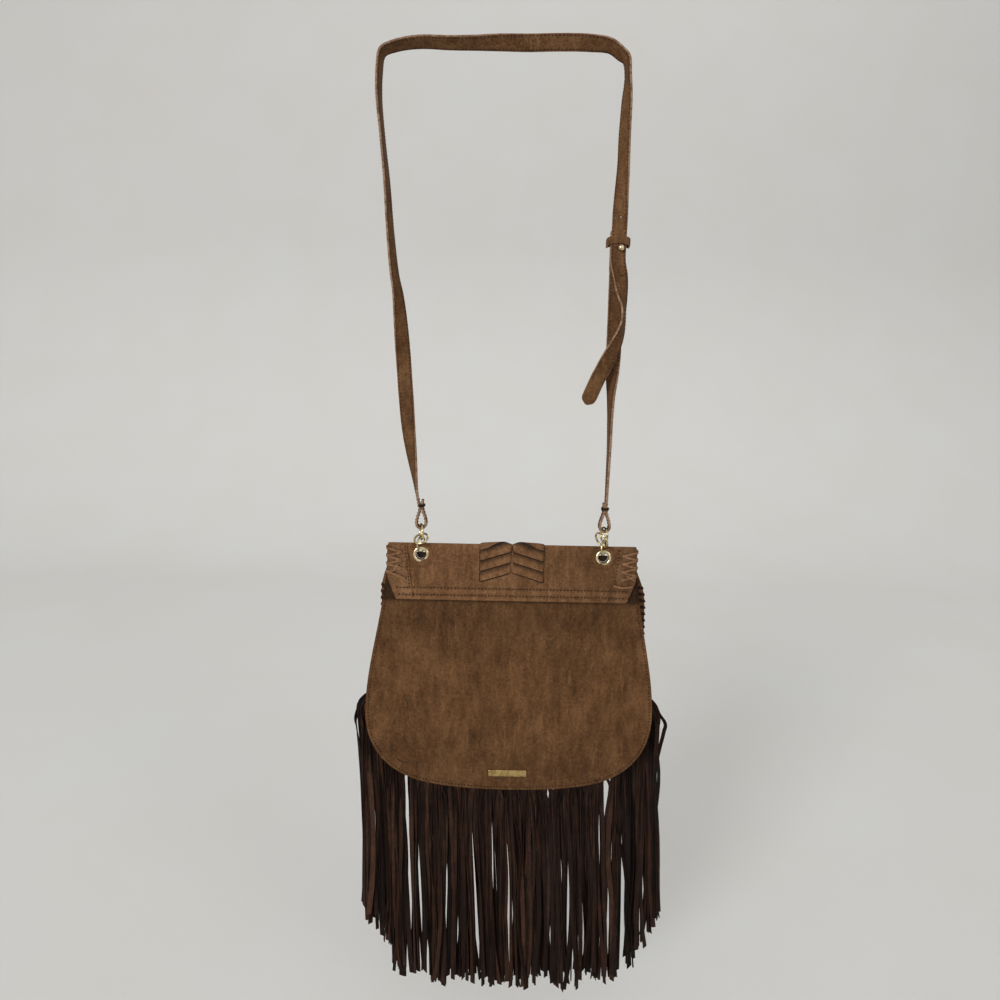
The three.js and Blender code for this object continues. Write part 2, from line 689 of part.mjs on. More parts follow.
// The fold is a hairpin seen from the side, as wide as the strap
const foldPitch = strapThickness + clearance;
const foldOverlap = 1;
const foldTop = -foldTopDrop;
const hairpin = new THREE.Shape();
hairpin.moveTo(-strapThickness / 2, -foldRootDrop - foldOverlap);
hairpin.lineTo(-strapThickness / 2, foldTop);
hairpin.absarc(foldPitch / 2, foldTop, (foldPitch + strapThickness) / 2, Math.PI, 0, true);
hairpin.lineTo(foldPitch + strapThickness / 2, -foldTailDrop);
hairpin.lineTo(foldPitch - strapThickness / 2, -foldTailDrop);
hairpin.lineTo(foldPitch - strapThickness / 2, foldTop);
hairpin.absarc(foldPitch / 2, foldTop, clearance / 2, 0, Math.PI, false);
hairpin.lineTo(strapThickness / 2, -foldRootDrop - foldOverlap);
const fold = new THREE.ExtrudeGeometry(hairpin, { depth: strapWidth, bevelEnabled: false, curveSegments: 6 });
fold.applyMatrix4(new THREE.Matrix4().makeBasis(
  new THREE.Vector3(0, 1, 0), new THREE.Vector3(0, 0, 1), new THREE.Vector3(1, 0, 0)));
fold.translate(foldX - strapWidth / 2, 0, 0);
addMesh('strap_short', cut(join([shortRibbon, fold]), [studTool]), 'strap');

// Keeper: a loop round both straps, held between the fold and the stud
function roundedRectangle(Outline, halfWidth, halfHeight, radius) {
  const outline = new Outline();
  outline.absarc(halfWidth - radius, halfHeight - radius, radius, 0, Math.PI / 2, false);
  outline.absarc(radius - halfWidth, halfHeight - radius, radius, Math.PI / 2, Math.PI, false);
  outline.absarc(radius - halfWidth, radius - halfHeight, radius, Math.PI, 1.5 * Math.PI, false);
  outline.absarc(halfWidth - radius, radius - halfHeight, radius, 1.5 * Math.PI, 2 * Math.PI, false);
  outline.closePath();
  return outline;
}

const stackHalf = foldPitch + strapThickness / 2 + clearance;
const keeperInnerHalf = strapWidth / 2 + keeperSlack;
const keeperShape = roundedRectangle(
  THREE.Shape, keeperInnerHalf + keeperThickness, stackHalf + keeperThickness, keeperThickness + keeperCorner);
keeperShape.holes.push(roundedRectangle(THREE.Path, keeperInnerHalf, stackHalf, keeperCorner));
const keeper = new THREE.ExtrudeGeometry(keeperShape, { depth: keeperHeight, bevelEnabled: false, curveSegments: 3 });
keeper.translate(foldX, 0, -keeperDrop - keeperHeight);
addMesh('keeper', keeper, 'strap');

// Stud: a ball on a neck through both straps, with a flat foot behind
const ballCentre = stackHalf + studRadius - studBallSink;
const ballSteps = 7;
const ballProfile = Array.from({ length: ballSteps + 1 }, (_, i) => {
  const a = (i / ballSteps) * studBallTurn;
  return [studRadius * Math.sin(a), -ballCentre - studRadius * Math.cos(a)];
});
const footBack = stackHalf + studFootThickness;
const studProfile = [
  ...ballProfile, [studNeckRadius, -stackHalf], [studNeckRadius, stackHalf],
  [studFootRadius, stackHalf], [studFootRadius, footBack], [0, footBack],
].map(([r, y]) => new THREE.Vector2(r, y));
const stud = new THREE.LatheGeometry(studProfile, 14);
stud.translate(studX, 0, -studDrop);
addMesh('stud', stud, 'brass');

// Magnetic snap, half on the front panel and half inside the flap
function faceSlope(faceY, drop) {
  return Math.atan2(faceY(drop + 0.5) - faceY(drop - 0.5), 1);
}

function snapHalf(name, faceY, offset, parent) {
  const disc = new THREE.CylinderGeometry(snapRadius, snapRadius, snapThickness, 32);
  disc.translate(0, offset, 0);
  disc.rotateX(faceSlope(faceY, snapDrop));
  disc.translate(0, faceY(snapDrop), ridgeZ - snapDrop);
  addMesh(name, disc, 'brass', parent);
}

const snapOffset = clearance + snapThickness / 2 + snapRelief;
snapHalf('snap_body', frontOuterY, snapOffset, bag);
snapHalf('snap_flap', flapInnerY, -snapOffset, flap);

// Plain plate low on the back
addMesh('name_bar', box(plateLength, plateThickness, plateHeight, 0,
  -(panelFace + clearance + plateThickness / 2), ridgeZ - plateDrop), 'brass');

// Fringe: cut strips that hang from a header in the seam of the front panel
const bodyMiddleDrop = bagHeight / 2;
function fringeSection(name, headerPoints, strips) {
  const bodies = [];
  const near = headerPoints.map((p) => new THREE.Vector3(p.x, headerInnerY(p.y), ridgeZ - p.y));
  const inward = headerPoints.map((p, i) => {
    const before = headerPoints[Math.max(0, i - 1)];
    const after = headerPoints[Math.min(headerPoints.length - 1, i + 1)];
    const t = new THREE.Vector2().subVectors(after, before).normalize();
    const n = new THREE.Vector2(-t.y, t.x);
    return n.dot(new THREE.Vector2(-p.x, bodyMiddleDrop - p.y)) > 0 ? n : n.negate();
  });
  const inner = headerPoints.map((p, i) => {
    const q = p.clone().addScaledVector(inward[i], headerWidth);
    return new THREE.Vector3(q.x, headerInnerY(q.y), ridgeZ - q.y);
  });
  const back = (row) => row.map((p) => new THREE.Vector3(p.x, p.y + headerThickness, p.z));
  const order = headerPoints[0].x < headerPoints[headerPoints.length - 1].x;
  const rows = order ? [inner, near] : [[...inner].reverse(), [...near].reverse()];
  bodies.push(sheet(rows, rows.map(back)));
  for (const { rootX, rootDrop, hangX, endDrop } of strips) {
    const y = headerInnerY(rootDrop) + stripThickness / 2;
    const away = hangX - rootX;
    const inwards = -Math.sign(away || 1) * Math.min(stripTuck, Math.abs(away));
    const path = new THREE.CatmullRomCurve3([
      new THREE.Vector3(rootX + inwards, y, ridgeZ - rootDrop + stripRoot),
      ...stripBend.map(([share, down]) => new THREE.Vector3(rootX + away * share, y, ridgeZ - rootDrop - down)),
      new THREE.Vector3(hangX + fringeLean * (endDrop - rootDrop) * 0.5, y, ridgeZ - (rootDrop + endDrop) / 2),
      new THREE.Vector3(hangX + fringeLean * (endDrop - rootDrop), y, ridgeZ - endDrop),
    ]);
    bodies.push(ribbon(path, 6, () => stripWidth, stripThickness, () => 0));
  }
  addMesh(name, join(bodies), 'fringe');
}

// Strip lengths vary a little from one to the next, in a pattern worked out from their number
const ragged = (i) => raggedWaves.reduce((sum, [length, step]) => sum + length * Math.sin(i * step), 0);

function edgeBetween(fromDrop, toDrop) {
  return bodyEdge.filter((p) => p.y >= fromDrop && p.y <= toDrop);
}

const centreEdge = bodyEdge.filter((p) => p.x <= centreFringeHalfWidth);
const centreLine = [...centreEdge.map((p) => new THREE.Vector2(-p.x, p.y)), ...centreEdge.slice(0, -1).reverse()];
const edgeByX = [...bodyEdge].reverse().filter((p) => p.y > wideDrop).map((p) => [p.x, p.y]);
const dropAtX = (x) => readTable(edgeByX, Math.abs(x));
const centreStrips = Array.from({ length: centreStripCount }, (_, i) => {
  const span = centreFringeHalfWidth - stripWidth / 2 - headerEnd;
  const x = -span + (2 * span * i) / (centreStripCount - 1);
  const endDrop = fringeFoot - fringeFootRise * (x / span) ** 2 + ragged(i);
  return { rootX: x, rootDrop: dropAtX(x), hangX: x, endDrop };
});
fringeSection('fringe_centre', centreLine, centreStrips);

for (const [side, s] of sides) {
  const sideEdge = edgeBetween(sideFringeTop, dropAtX(centreFringeHalfWidth + headerGap));
  const line = sideEdge.map((p) => new THREE.Vector2(s * p.x, p.y));
  const rootSpan = sideEdge[sideEdge.length - 1].y - sideFringeTop - 2 * sideRootMargin;
  const footSpan = fringeFoot - sideFootRise - sideFringeFoot;
  const strips = Array.from({ length: sideStripCount }, (_, i) => {
    const share = i / (sideStripCount - 1);
    const rootDrop = sideFringeTop + sideRootMargin + rootSpan * share ** sideRootCurve;
    const rootX = bodyHalfWidth(rootDrop);
    const hangX = wideHalfWidth + sideFringeSpread - sideStripPitch * i;
    const endDrop = sideFringeFoot + footSpan * share ** sideFootCurve + sideRaggedShare * ragged(i);
    return { rootX: s * rootX, rootDrop, hangX: s * hangX, endDrop };
  });
  fringeSection(`fringe_${side}`, line, strips);
}

export default bag;
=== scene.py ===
"""Looks of a fringed suede bag that hangs by its strap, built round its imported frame.

Sizes are in millimetres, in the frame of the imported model: the origin is where the strap
bears, +Z is up and the back of the bag faces -Y. Meshes are turned into metres as they are made.
"""

import logging
import math
import random
from dataclasses import dataclass
from enum import Enum
from typing import Any, Callable, Mapping, Sequence

import bmesh
import bpy
import numpy as np
from mathutils import Matrix, Vector

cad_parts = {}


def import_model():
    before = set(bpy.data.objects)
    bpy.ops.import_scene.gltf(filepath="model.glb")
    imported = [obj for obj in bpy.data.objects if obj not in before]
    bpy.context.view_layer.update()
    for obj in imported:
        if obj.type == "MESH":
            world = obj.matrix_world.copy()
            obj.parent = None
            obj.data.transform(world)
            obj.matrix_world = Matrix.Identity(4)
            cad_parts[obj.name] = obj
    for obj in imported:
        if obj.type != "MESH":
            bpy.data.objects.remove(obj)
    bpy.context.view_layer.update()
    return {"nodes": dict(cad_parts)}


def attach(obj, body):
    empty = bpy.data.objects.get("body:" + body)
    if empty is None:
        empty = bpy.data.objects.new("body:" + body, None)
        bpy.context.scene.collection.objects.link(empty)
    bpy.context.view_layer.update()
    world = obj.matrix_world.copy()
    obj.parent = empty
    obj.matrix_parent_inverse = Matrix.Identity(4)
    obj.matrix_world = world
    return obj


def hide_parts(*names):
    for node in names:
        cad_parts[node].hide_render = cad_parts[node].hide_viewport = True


LOG = logging.getLogger("fringed_bag")
MM = 0.001
Colour = tuple[int, int, int]
BACKWARDS = np.array([0.0, -1.0, 0.0])
CORNERS = ((1, 1), (-1, 1), (-1, -1), (1, -1))
SHARP_ANGLE = math.radians(48)


class Body(Enum):
    """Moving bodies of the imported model."""

    STRAP = "strap"
    RING_LEFT = "ring_left"
    RING_RIGHT = "ring_right"
    BAG = "bag"
    FLAP = "flap"


class Slot(Enum):
    """Material slots of the record."""

    SUEDE = "suede"
    BAND = "band_suede"
    STRAP = "strap_leather"
    FRINGE = "fringe_suede"
    BRASS = "brass"


class Side(Enum):
    """Left and right as the back of the bag is looked at."""

    LEFT = -1
    RIGHT = 1

    @property
    def word(self) -> str:
        """The side's name as the nodes spell it."""
        return self.name.lower()


def linear(colour: Colour) -> tuple[float, float, float, float]:
    """A screen colour as the linear one that a shader takes.

    Args:
        colour: Red, green and blue from 0 to 255.

    Returns:
        The linear colour with a full alpha.
    """
    parts = [c / 255 for c in colour]
    lit = [p / 12.92 if p <= 0.04045 else ((p + 0.055) / 1.055) ** 2.4 for p in parts]
    return (lit[0], lit[1], lit[2], 1.0)


def ease(value: np.ndarray | float) -> np.ndarray:
    """A smooth rise from 0 to 1 as the value goes from 0 to 1."""
    held = np.clip(value, 0, 1)
    return held * held * (3 - 2 * held)


def unit(vectors: np.ndarray) -> np.ndarray:
    """The vectors, each made one long."""
    return vectors / np.linalg.norm(vectors, axis=-1, keepdims=True)


def hump(value: np.ndarray | float, middle: float, reach: float) -> np.ndarray:
    """A smooth hump, 1 high at its middle and low past its reach."""
    return np.exp(-(((value - middle) / reach) ** 2))


def distances(points: np.ndarray) -> np.ndarray:
    """How far along a line each of its points lies."""
    return np.concatenate([[0], np.cumsum(np.linalg.norm(np.diff(points, axis=0), axis=1))])


def picked(points: np.ndarray, count: int) -> np.ndarray:
    """As many of a line's points as the count says, evenly picked."""
    return points[np.linspace(0, len(points) - 1, count).round().astype(int)]


def rounded(
    half_x: float, half_y: float, corner: float, parts: int, inset: float = 0.0
) -> list[tuple[float, float]]:
    """Outline of a rectangle with round corners.

    Args:
        half_x: Half its width.
        half_y: Half its height.
        corner: The radius of its corners.
        parts: How many parts each corner is made of.
        inset: How far inside that outline it runs.

    Returns:
        The points, from the right-hand side anticlockwise.
    """
    outline = []
    for quarter, (sx, sy) in enumerate(CORNERS):
        for step in range(parts + 1):
            a = math.pi / 2 * (quarter + step / parts)
            x = sx * (half_x - corner) + (corner - inset) * math.cos(a)
            y = sy * (half_y - corner) + (corner - inset) * math.sin(a)
            outline.append((x, y))
    return outline


class Wire:
    """A number or colour on its way between shader nodes, with maths written as operators."""

    def __init__(self, board: "Board", socket: bpy.types.NodeSocket) -> None:
        """Keeps the socket and the board that it belongs to."""
        self.board = board
        self.socket = socket

    def _maths(self, operation: str, first: Any, second: Any) -> "Wire":
        """One Math node on two numbers or wires."""
        settings = {"operation": operation}
        return self.board.node("Math", settings, {0: first, 1: second})

    def __add__(self, other: Any) -> "Wire":
        """This plus the other."""
        return self._maths("ADD", self, other)

    def __radd__(self, other: Any) -> "Wire":
        """The other plus this."""
        return self._maths("ADD", other, self)

    def __sub__(self, other: Any) -> "Wire":
        """This less the other."""
        return self._maths("SUBTRACT", self, other)

    def __rsub__(self, other: Any) -> "Wire":
        """The other less this."""
        return self._maths("SUBTRACT", other, self)

    def __mul__(self, other: Any) -> "Wire":
        """This times the other."""
        return self._maths("MULTIPLY", self, other)

    def __rmul__(self, other: Any) -> "Wire":
        """The other times this."""
        return self._maths("MULTIPLY", other, self)

    def between(self, low: float, high: float) -> "Wire":
        """This as a share of the way from low to high, held between 0 and 1."""
        inputs = {"Value": self, "From Min": low, "From Max": high}
        return self.board.node("MapRange", {"clamp": True}, inputs)


class Board:
    """The shader nodes of one material, or of the world."""

    def __init__(self, owner: bpy.types.Material | bpy.types.World) -> None:
        """Empties the owner's node tree.

        Args:
            owner: The material or the world.
        """
        owner.use_nodes = True
        self.owner = owner
        self.tree = owner.node_tree
        self.tree.nodes.clear()

    def node(
        self,
        kind: str,
        settings: Mapping[str, Any] | None = None,
        inputs: Mapping[int | str, Any] | None = None,
        output: int | str = 0,
    ) -> Wire | None:
        """Adds a node.

        Args:
            kind: Its type, without the word ShaderNode.
            settings: Its properties; "stops" holds a ramp's places and colours.
            inputs: Values or wires for its sockets.
            output: The socket that it is read from.

        Returns:
            A wire from that socket, or None for a node that only takes wires.
        """
        made = self.tree.nodes.new(f"ShaderNode{kind}")
        for key, value in (settings or {}).items():
            if key == "stops":
                self._fill_ramp(made.color_ramp, value)
            else:
                setattr(made, key, value)
        for key, value in (inputs or {}).items():
            if isinstance(value, Wire):
                self.tree.links.new(value.socket, made.inputs[key])
            else:
                made.inputs[key].default_value = value
        return Wire(self, made.outputs[output]) if made.outputs else None

    @staticmethod
    def _fill_ramp(ramp: bpy.types.ColorRamp, stops: Sequence[tuple[float, Colour]]) -> None:
        """Puts the stops into a ramp that still has its two own ones.

        Args:
            ramp: The ramp.
            stops: Places from 0 to 1, each with its colour.
        """
        while len(ramp.elements) < len(stops):
            ramp.elements.new(0.5)
        for element, (place, colour) in zip(ramp.elements, stops):
            element.position = place
            element.color = linear(colour)

    def place(self, stretch: Sequence[float] = (1, 1, 1)) -> Wire:
        """Where a point lies on the object, in metres.

        Args:
            stretch: What each axis is multiplied by; a small number draws a pattern out along it.

        Returns:
            The place as a vector.
        """
        here = self.node("TexCoord", output="Object")
        return self.node("VectorMath", {"operation": "MULTIPLY"}, {0: here, 1: stretch})

    def noise(self, place: Wire, scale: float, detail: float = 3, rough: float = 0.55) -> Wire:
        """Soft random variation.

        Args:
            place: Where a point lies.
            scale: Patches to the metre.
            detail: How many finer layers are added.
            rough: How strong the finer layers are.

        Returns:
            A number around 0.5.
        """
        inputs = {"Vector": place, "Scale": scale, "Detail": detail, "Roughness": rough}
        return self.node("TexNoise", {"noise_dimensions": "3D"}, inputs)

    def ramp(self, value: Wire, stops: Sequence[tuple[float, Colour]]) -> Wire:
        """The colour that the stops give for a value."""
        return self.node("ValToRGB", {"stops": stops}, {0: value})

    def mix(self, share: Any, first: Any, second: Any, blend: str = "MIX") -> Wire:
        """A blend of two colours.

        Args:
            share: How much of the second shows.
            first: A wire or a linear colour.
            second: A wire or a linear colour.
            blend: The way they are blended.

        Returns:
            The blended colour.
        """
        settings = {"data_type": "RGBA", "blend_type": blend, "clamp_factor": True}
        return self.node("Mix", settings, {0: share, 6: first, 7: second}, 2)

    def away_from(self, point: Sequence[float]) -> Wire:
        """Distance from a point in metres, as seen along Y.

        Args:
            point: The point.

        Returns:
            The distance.
        """
        flat = (1, 0, 1)
        centre = tuple(p * f for p, f in zip(point, flat))
        settings = {"operation": "DISTANCE"}
        return self.node("VectorMath", settings, {0: self.place(flat), 1: centre}, "Value")

    def bump(self, height: Wire, strength: float, depth_mm: float) -> Wire:
        """A surface normal from a height map.

        Args:
            height: The height, from 0 to 1.
            strength: How much of it shows.
            depth_mm: Its full depth.

        Returns:
            The normal.
        """
        inputs = {"Strength": strength, "Distance": depth_mm * MM, "Height": height}
        return self.node("Bump", None, inputs)

    def close(self, **sockets: Any) -> bpy.types.Material:
        """Joins everything to one Principled shader.

        Args:
            **sockets: The shader's sockets, with underscores for spaces.

        Returns:
            The finished material.
        """
        inputs = {key.replace("_", " "): value for key, value in sockets.items()}
        shader = self.node("BsdfPrincipled", None, inputs)
        self.node("OutputMaterial", None, {"Surface": shader})
        return self.owner


@dataclass(frozen=True)
class Suede:
    """Napped leather: blotches, streaks that hang down, a fine nap, rubbed spots and painted shade in
    pressed rings.
    """

    name: str
    dark: Colour
    mid: Colour
    light: Colour
    blotch: float = 22.0
    streak: float = 115.0
    rub: float = 210.0
    grain: float = 300.0
    nap: float = 620.0
    nap_mm: float = 0.3
    roughness: float = 0.84
    sheen: float = 0.03
    specular: float = 0.14
    dents: tuple[tuple[float, float, float], ...] = ()
    dent_radius_mm: float = 12.4

    def material(self) -> bpy.types.Material:
        """The finish as a material.

        Returns:
            The material.
        """
        board = Board(bpy.data.materials.new(self.name))
        place = board.place()
        blotches = board.noise(place, self.blotch, 4, 0.62)
        streaks = board.noise(board.place((1, 1, 0.3)), self.streak, 6, 0.72)
        nap = board.noise(place, self.nap, 3, 0.8)
        grain = board.noise(place, self.grain, 5, 0.76)
        tone = blotches * 0.26 + streaks * 0.4 + grain * 0.34
        colour = board.ramp(tone, [(0.38, self.dark), (0.5, self.mid), (0.62, self.light)])
        speckle = board.ramp(nap, [(0.36, (158, 150, 142)), (0.6, (255, 255, 255))])
        colour = board.mix(0.55, colour, speckle, "MULTIPLY")
        rubbed_and_painted_highlight = board.noise(board.place((1, 1, 0.14)), self.rub, 5, 0.72).between(0.59, 0.68)
        colour = board.mix(rubbed_and_painted_highlight * 0.5, colour, linear(self.light))
        height = grain * 0.5 + nap * 0.35 + streaks * 0.15
        for dent in self.dents:
            ring = board.away_from([d * MM for d in dent])
            across = ring.between((self.dent_radius_mm - 2.4) * MM, self.dent_radius_mm * MM)
            beyond = ring.between(self.dent_radius_mm * MM, (self.dent_radius_mm + 2.6) * MM)
            groove = across * (1 - beyond)
            # The pressed ring's groove is darkened: its pressed nap, with painted shade in the groove; it
            # is also lowered in the bump.
            colour = board.mix(groove * 0.5, colour, linear(self.dark))
            height = height - groove * 1.6
        # The tone attribute multiplies in each piece's tint: painted shade and highlights, and the fringe's
        # random tints.
        tint = board.node("Attribute", {"attribute_name": "tone"}, None, "Color")
        colour = board.mix(1.0, colour, tint, "MULTIPLY")
        rough = self.roughness - 0.1 * rubbed_and_painted_highlight + 0.08 * (nap - 0.5)
        return board.close(
            Base_Color=colour,
            Roughness=rough,
            Normal=board.bump(height, 0.7, self.nap_mm),
            Specular_IOR_Level=self.specular,
            Sheen_Weight=self.sheen,
            Sheen_Roughness=0.6,
            Sheen_Tint=linear(self.light),
        )


@dataclass(frozen=True)
class EdgePaint:
    """The lighter coat on a cut leather edge, rubbed through in places."""

    name: str = "painted_edge"
    coat: Colour = (150, 120, 96)
    worn: Colour = (104, 76, 55)

    def material(self) -> bpy.types.Material:
        """The finish as a material.

        Returns:
            The material.
        """
        board = Board(bpy.data.materials.new(self.name))
        wear = board.noise(board.place(), 240, 4, 0.65)
        colour = board.ramp(wear, [(0.4, self.worn), (0.56, self.coat)])
        return board.close(
            Base_Color=colour,
            Roughness=0.5 + 0.3 * wear,
            Normal=board.bump(wear, 0.4, 0.15),
            Specular_IOR_Level=0.25,
        )


@dataclass(frozen=True)
class Thread:
    """Waxed sewing thread with its twist."""

    name: str = "waxed_thread"
    dark: Colour = (26, 15, 9)
    light: Colour = (52, 32, 20)

    def material(self) -> bpy.types.Material:
        """The finish as a material.

        Returns:
            The material.
        """
        board = Board(bpy.data.materials.new(self.name))
        twist = board.noise(board.place((1, 1, 0.6)), 1800, 2)
        colour = board.ramp(twist, [(0.4, self.dark), (0.62, self.light)])
        return board.close(
            Base_Color=colour,
            Roughness=0.55 + 0.3 * twist,
            Normal=board.bump(twist, 0.5, 0.08),
            Specular_IOR_Level=0.2,
        )


@dataclass(frozen=True)
class Brass:
    """Pale plated metal with faint smears and hair scratches."""

    name: str = "pale_brass"
    bright: Colour = (230, 214, 176)
    dull: Colour = (186, 164, 120)
    roughness: float = 0.16

    def material(self) -> bpy.types.Material:
        """The finish as a material.

        Returns:
            The material.
        """
        board = Board(bpy.data.materials.new(self.name))
        smears = board.noise(board.place(), 210, 3)
        scratches = board.noise(board.place((1, 1, 9)), 520, 4, 0.7)
        colour = board.ramp(smears, [(0.35, self.dull), (0.6, self.bright)])
        return board.close(
            Base_Color=colour,
            Metallic=1.0,
            Roughness=self.roughness + 0.16 * smears.between(0.45, 0.75),
            Normal=board.bump(scratches, 0.12, 0.05),
        )


@dataclass(frozen=True)
class Backdrop:
    """Plain pale paper under and behind the bag."""

    name: str = "pale_paper"
    tone: Colour = (214, 214, 212)

    def material(self) -> bpy.types.Material:
        """The finish as a material.

        Returns:
            The material.
        """
        board = Board(bpy.data.materials.new(self.name))
        cloud = board.noise(board.place(), 3, 2)
        warmer = (self.tone[0], self.tone[1] - 2, self.tone[2] - 4)
        colour = board.ramp(cloud, [(0.3, self.tone), (0.7, warmer)])
        return board.close(Base_Color=colour, Roughness=0.95, Specular_IOR_Level=0.1)


@dataclass(frozen=True)
class Plan:
    """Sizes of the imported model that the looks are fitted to, with the shapes that follow from them."""

    clearance: float = 0.3
    strap_drop: float = 466
    ridge_z: float = -486.3
    upper_ring_z: float = -474.3
    lower_ring_z: float = -487.9
    ring_radius: float = 8.3
    ring_wire: float = 1.1
    small_ring_radius: float = 7.4
    upper_ring_yaw: float = 16
    lower_ring_yaw: float = -23
    panel: float = 1.6
    band: float = 1.6
    gusset: float = 1.4
    bag_height: float = 277
    ridge_half: float = 132
    wide_half: float = 156.7
    wide_drop: float = 190
    depth: float = 42
    mouth_drop: float = 60
    gusset_rise: float = 12
    seam_inset: float = 3
    wedge_curve: float = 1.8
    band_drop: float = 61
    chamfer_drop: float = 37
    chamfer: float = 9.5
    hinge_drop: float = 24
    hinge_gap: float = 0.8
    flap_drop: float = 230
    flap_wide_half: float = 148
    flap_wide_share: float = 0.66
    flap_flare: float = 9
    flap_gap: float = 4.2
    eyelet_x: float = 96.5
    eyelet_drop: float = 12
    eyelet_hole: float = 5.4
    eyelet_wall: float = 0.5
    eyelet_flange: float = 2.5
    stitch_pitch: float = 3.6
    flap_shift: float = 2.6
    flap_shift_run: float = 50
    crown_inset: float = 1.6
    slack: float = 2.4
    slack_wave: float = 0.9
    slack_ripple: float = 0.35
    slack_start: float = 66
    slack_run: float = 60
    slack_hold: float = 75

    @property
    def panel_face(self) -> float:
        """Half the back panel's thickness."""
        return self.panel / 2

    @property
    def band_inner(self) -> float:
        """Inner face of the band, from the middle of the back panel."""
        return self.panel_face + self.clearance

    @property
    def band_outer(self) -> float:
        """Outer face of the band, from the middle of the back panel."""
        return self.band_inner + self.band

    @property
    def eyelet_z(self) -> float:
        """Height of the eyelets' middle."""
        return self.ridge_z - self.eyelet_drop

    def body_half(self, drop: np.ndarray | float) -> np.ndarray:
        """Half-width of the body at a drop below the ridge."""
        edge = bell_edge(self.ridge_half, self.wide_half, self.wide_drop, self.bag_height)
        return np.interp(drop, edge[:, 1], edge[:, 0])

    def flap_half(self, drop: np.ndarray | float) -> np.ndarray:
        """Half-width of the front flap at a drop below the ridge.

        Args:
            drop: The drop below the ridge.

        Returns:
            The half-width.
        """
        wide_drop = self.flap_drop * self.flap_wide_share
        edge = bell_edge(self.ridge_half + self.flap_flare, self.flap_wide_half, wide_drop, self.flap_drop)
        spread = np.clip((drop - self.hinge_drop) / (self.mouth_drop - self.hinge_drop), 0, 1)
        flare = self.flap_flare * (1 - np.sin(spread * math.pi / 2))
        return np.interp(drop, edge[:, 1], edge[:, 0]) - flare

    def flap_inner(self, drop: np.ndarray | float) -> np.ndarray:
        """The flap's inner face, as y at a drop."""
        share = np.clip((drop - self.hinge_drop) / (self.bag_height - self.hinge_drop), 0, 1)
        return self.band_inner + (self.depth + self.flap_gap) * (1 - (1 - share) ** self.wedge_curve)

    def flap_aside(self, drop: np.ndarray | float) -> np.ndarray:
        """How far the hanging flap has moved to the right at a drop."""
        return self.flap_shift * ease((drop - self.hinge_drop) / self.flap_shift_run)

    def front_outer(self, drop: np.ndarray | float) -> np.ndarray:
        """The front panel's outer face, as y at a drop."""
        return self.flap_inner(drop) - self.flap_gap

    def front_inner(self, drop: np.ndarray | float) -> np.ndarray:
        """The front panel's inner face, as y at a drop."""
        return self.front_outer(drop) - self.panel

    def header_inner(self, drop: np.ndarray | float) -> np.ndarray:
        """The inner face of the fringe's header, as y at a drop."""
        return self.front_inner(drop) - self.clearance - 1.4

    def band_half(self, drop: np.ndarray | float) -> np.ndarray:
        """Half-width of the band on the back, with its cut corners.

        Args:
            drop: The drop below the ridge.

        Returns:
            The half-width.
        """
        past = np.clip((drop - self.chamfer_drop) / (self.band_drop - self.chamfer_drop), 0, 1)
        crown = self.crown_inset * ease(1 - (drop + 4) / 10)
        return self.ridge_half - self.chamfer * past - crown

    def back_lift(self, x: np.ndarray | float, drop: np.ndarray | float) -> np.ndarray:
        """How far the slack back panel stands out towards -Y.

        Args:
            x: Places across the bag.
            drop: Drops below the ridge.

        Returns:
            The lift at each place.
        """
        inside = np.minimum(self.body_half(drop) - np.abs(x), self.bag_height - drop)
        held = ease(inside / self.slack_hold) * ease((drop - self.slack_start) / self.slack_run)
        slack = self.slack + self.slack_wave * np.sin(0.041 * x + 0.9) * np.sin(0.027 * drop + 0.4)
        fold = np.sin(0.11 * x + 0.03 * drop)
        ripple = self.slack_ripple * fold * np.sin(0.06 * drop + 1)
        return held * (slack + ripple)

    def over_ridge(self, x: np.ndarray, run: np.ndarray, lift: np.ndarray | float) -> np.ndarray:
        """Points on the band, which runs up the back, over the ridge and down the front.

        Args:
            x: Places across.
            run: Drop on the back; below the ridge's spring it goes on over the ridge.
            lift: How far each point stands out of the band's outer face.

        Returns:
            The points.
        """
        radius = self.band_outer + lift
        past = (self.band_outer - run) / self.band_outer
        turn = np.clip(past, 0, math.pi)
        front = np.maximum(0, past - math.pi) * self.band_outer
        rise = self.band_outer - radius * np.sin(turn) + front
        drop = np.where(past <= 0, run, rise)
        y = -radius * np.cos(turn)
        return np.stack(np.broadcast_arrays(x, y, self.ridge_z - drop), axis=-1)

    def edge(self, start: float, inset: float) -> np.ndarray:
        """The body's right-hand edge.

        Args:
            start: The drop that it starts from.
            inset: How far inside the cut edge it runs.

        Returns:
            Points (x, drop) down to the middle of the foot.
        """
        points = bell_edge(self.ridge_half, self.wide_half, self.wide_drop, self.bag_height)
        along = unit(np.gradient(points, axis=0))
        outward = np.stack([along[:, 1], -along[:, 0]], axis=1)
        outward[-1] = (0, 1)
        moved = points - outward * inset
        moved[:, 0] = np.maximum(moved[:, 0], 0)
        return moved[points[:, 1] >= start]

    def rim(self, start: float, inset: float) -> np.ndarray:
        """The body's edge from its left end, round the foot, to its right end, as (x, drop).

        Args:
            start: The drop that both ends start from.
            inset: How far inside the cut edge it runs.

        Returns:
            The points.
        """
        right = self.edge(start, inset)
        left = right[:-1] * (-1, 1)
        return np.vstack([left, right[::-1]])


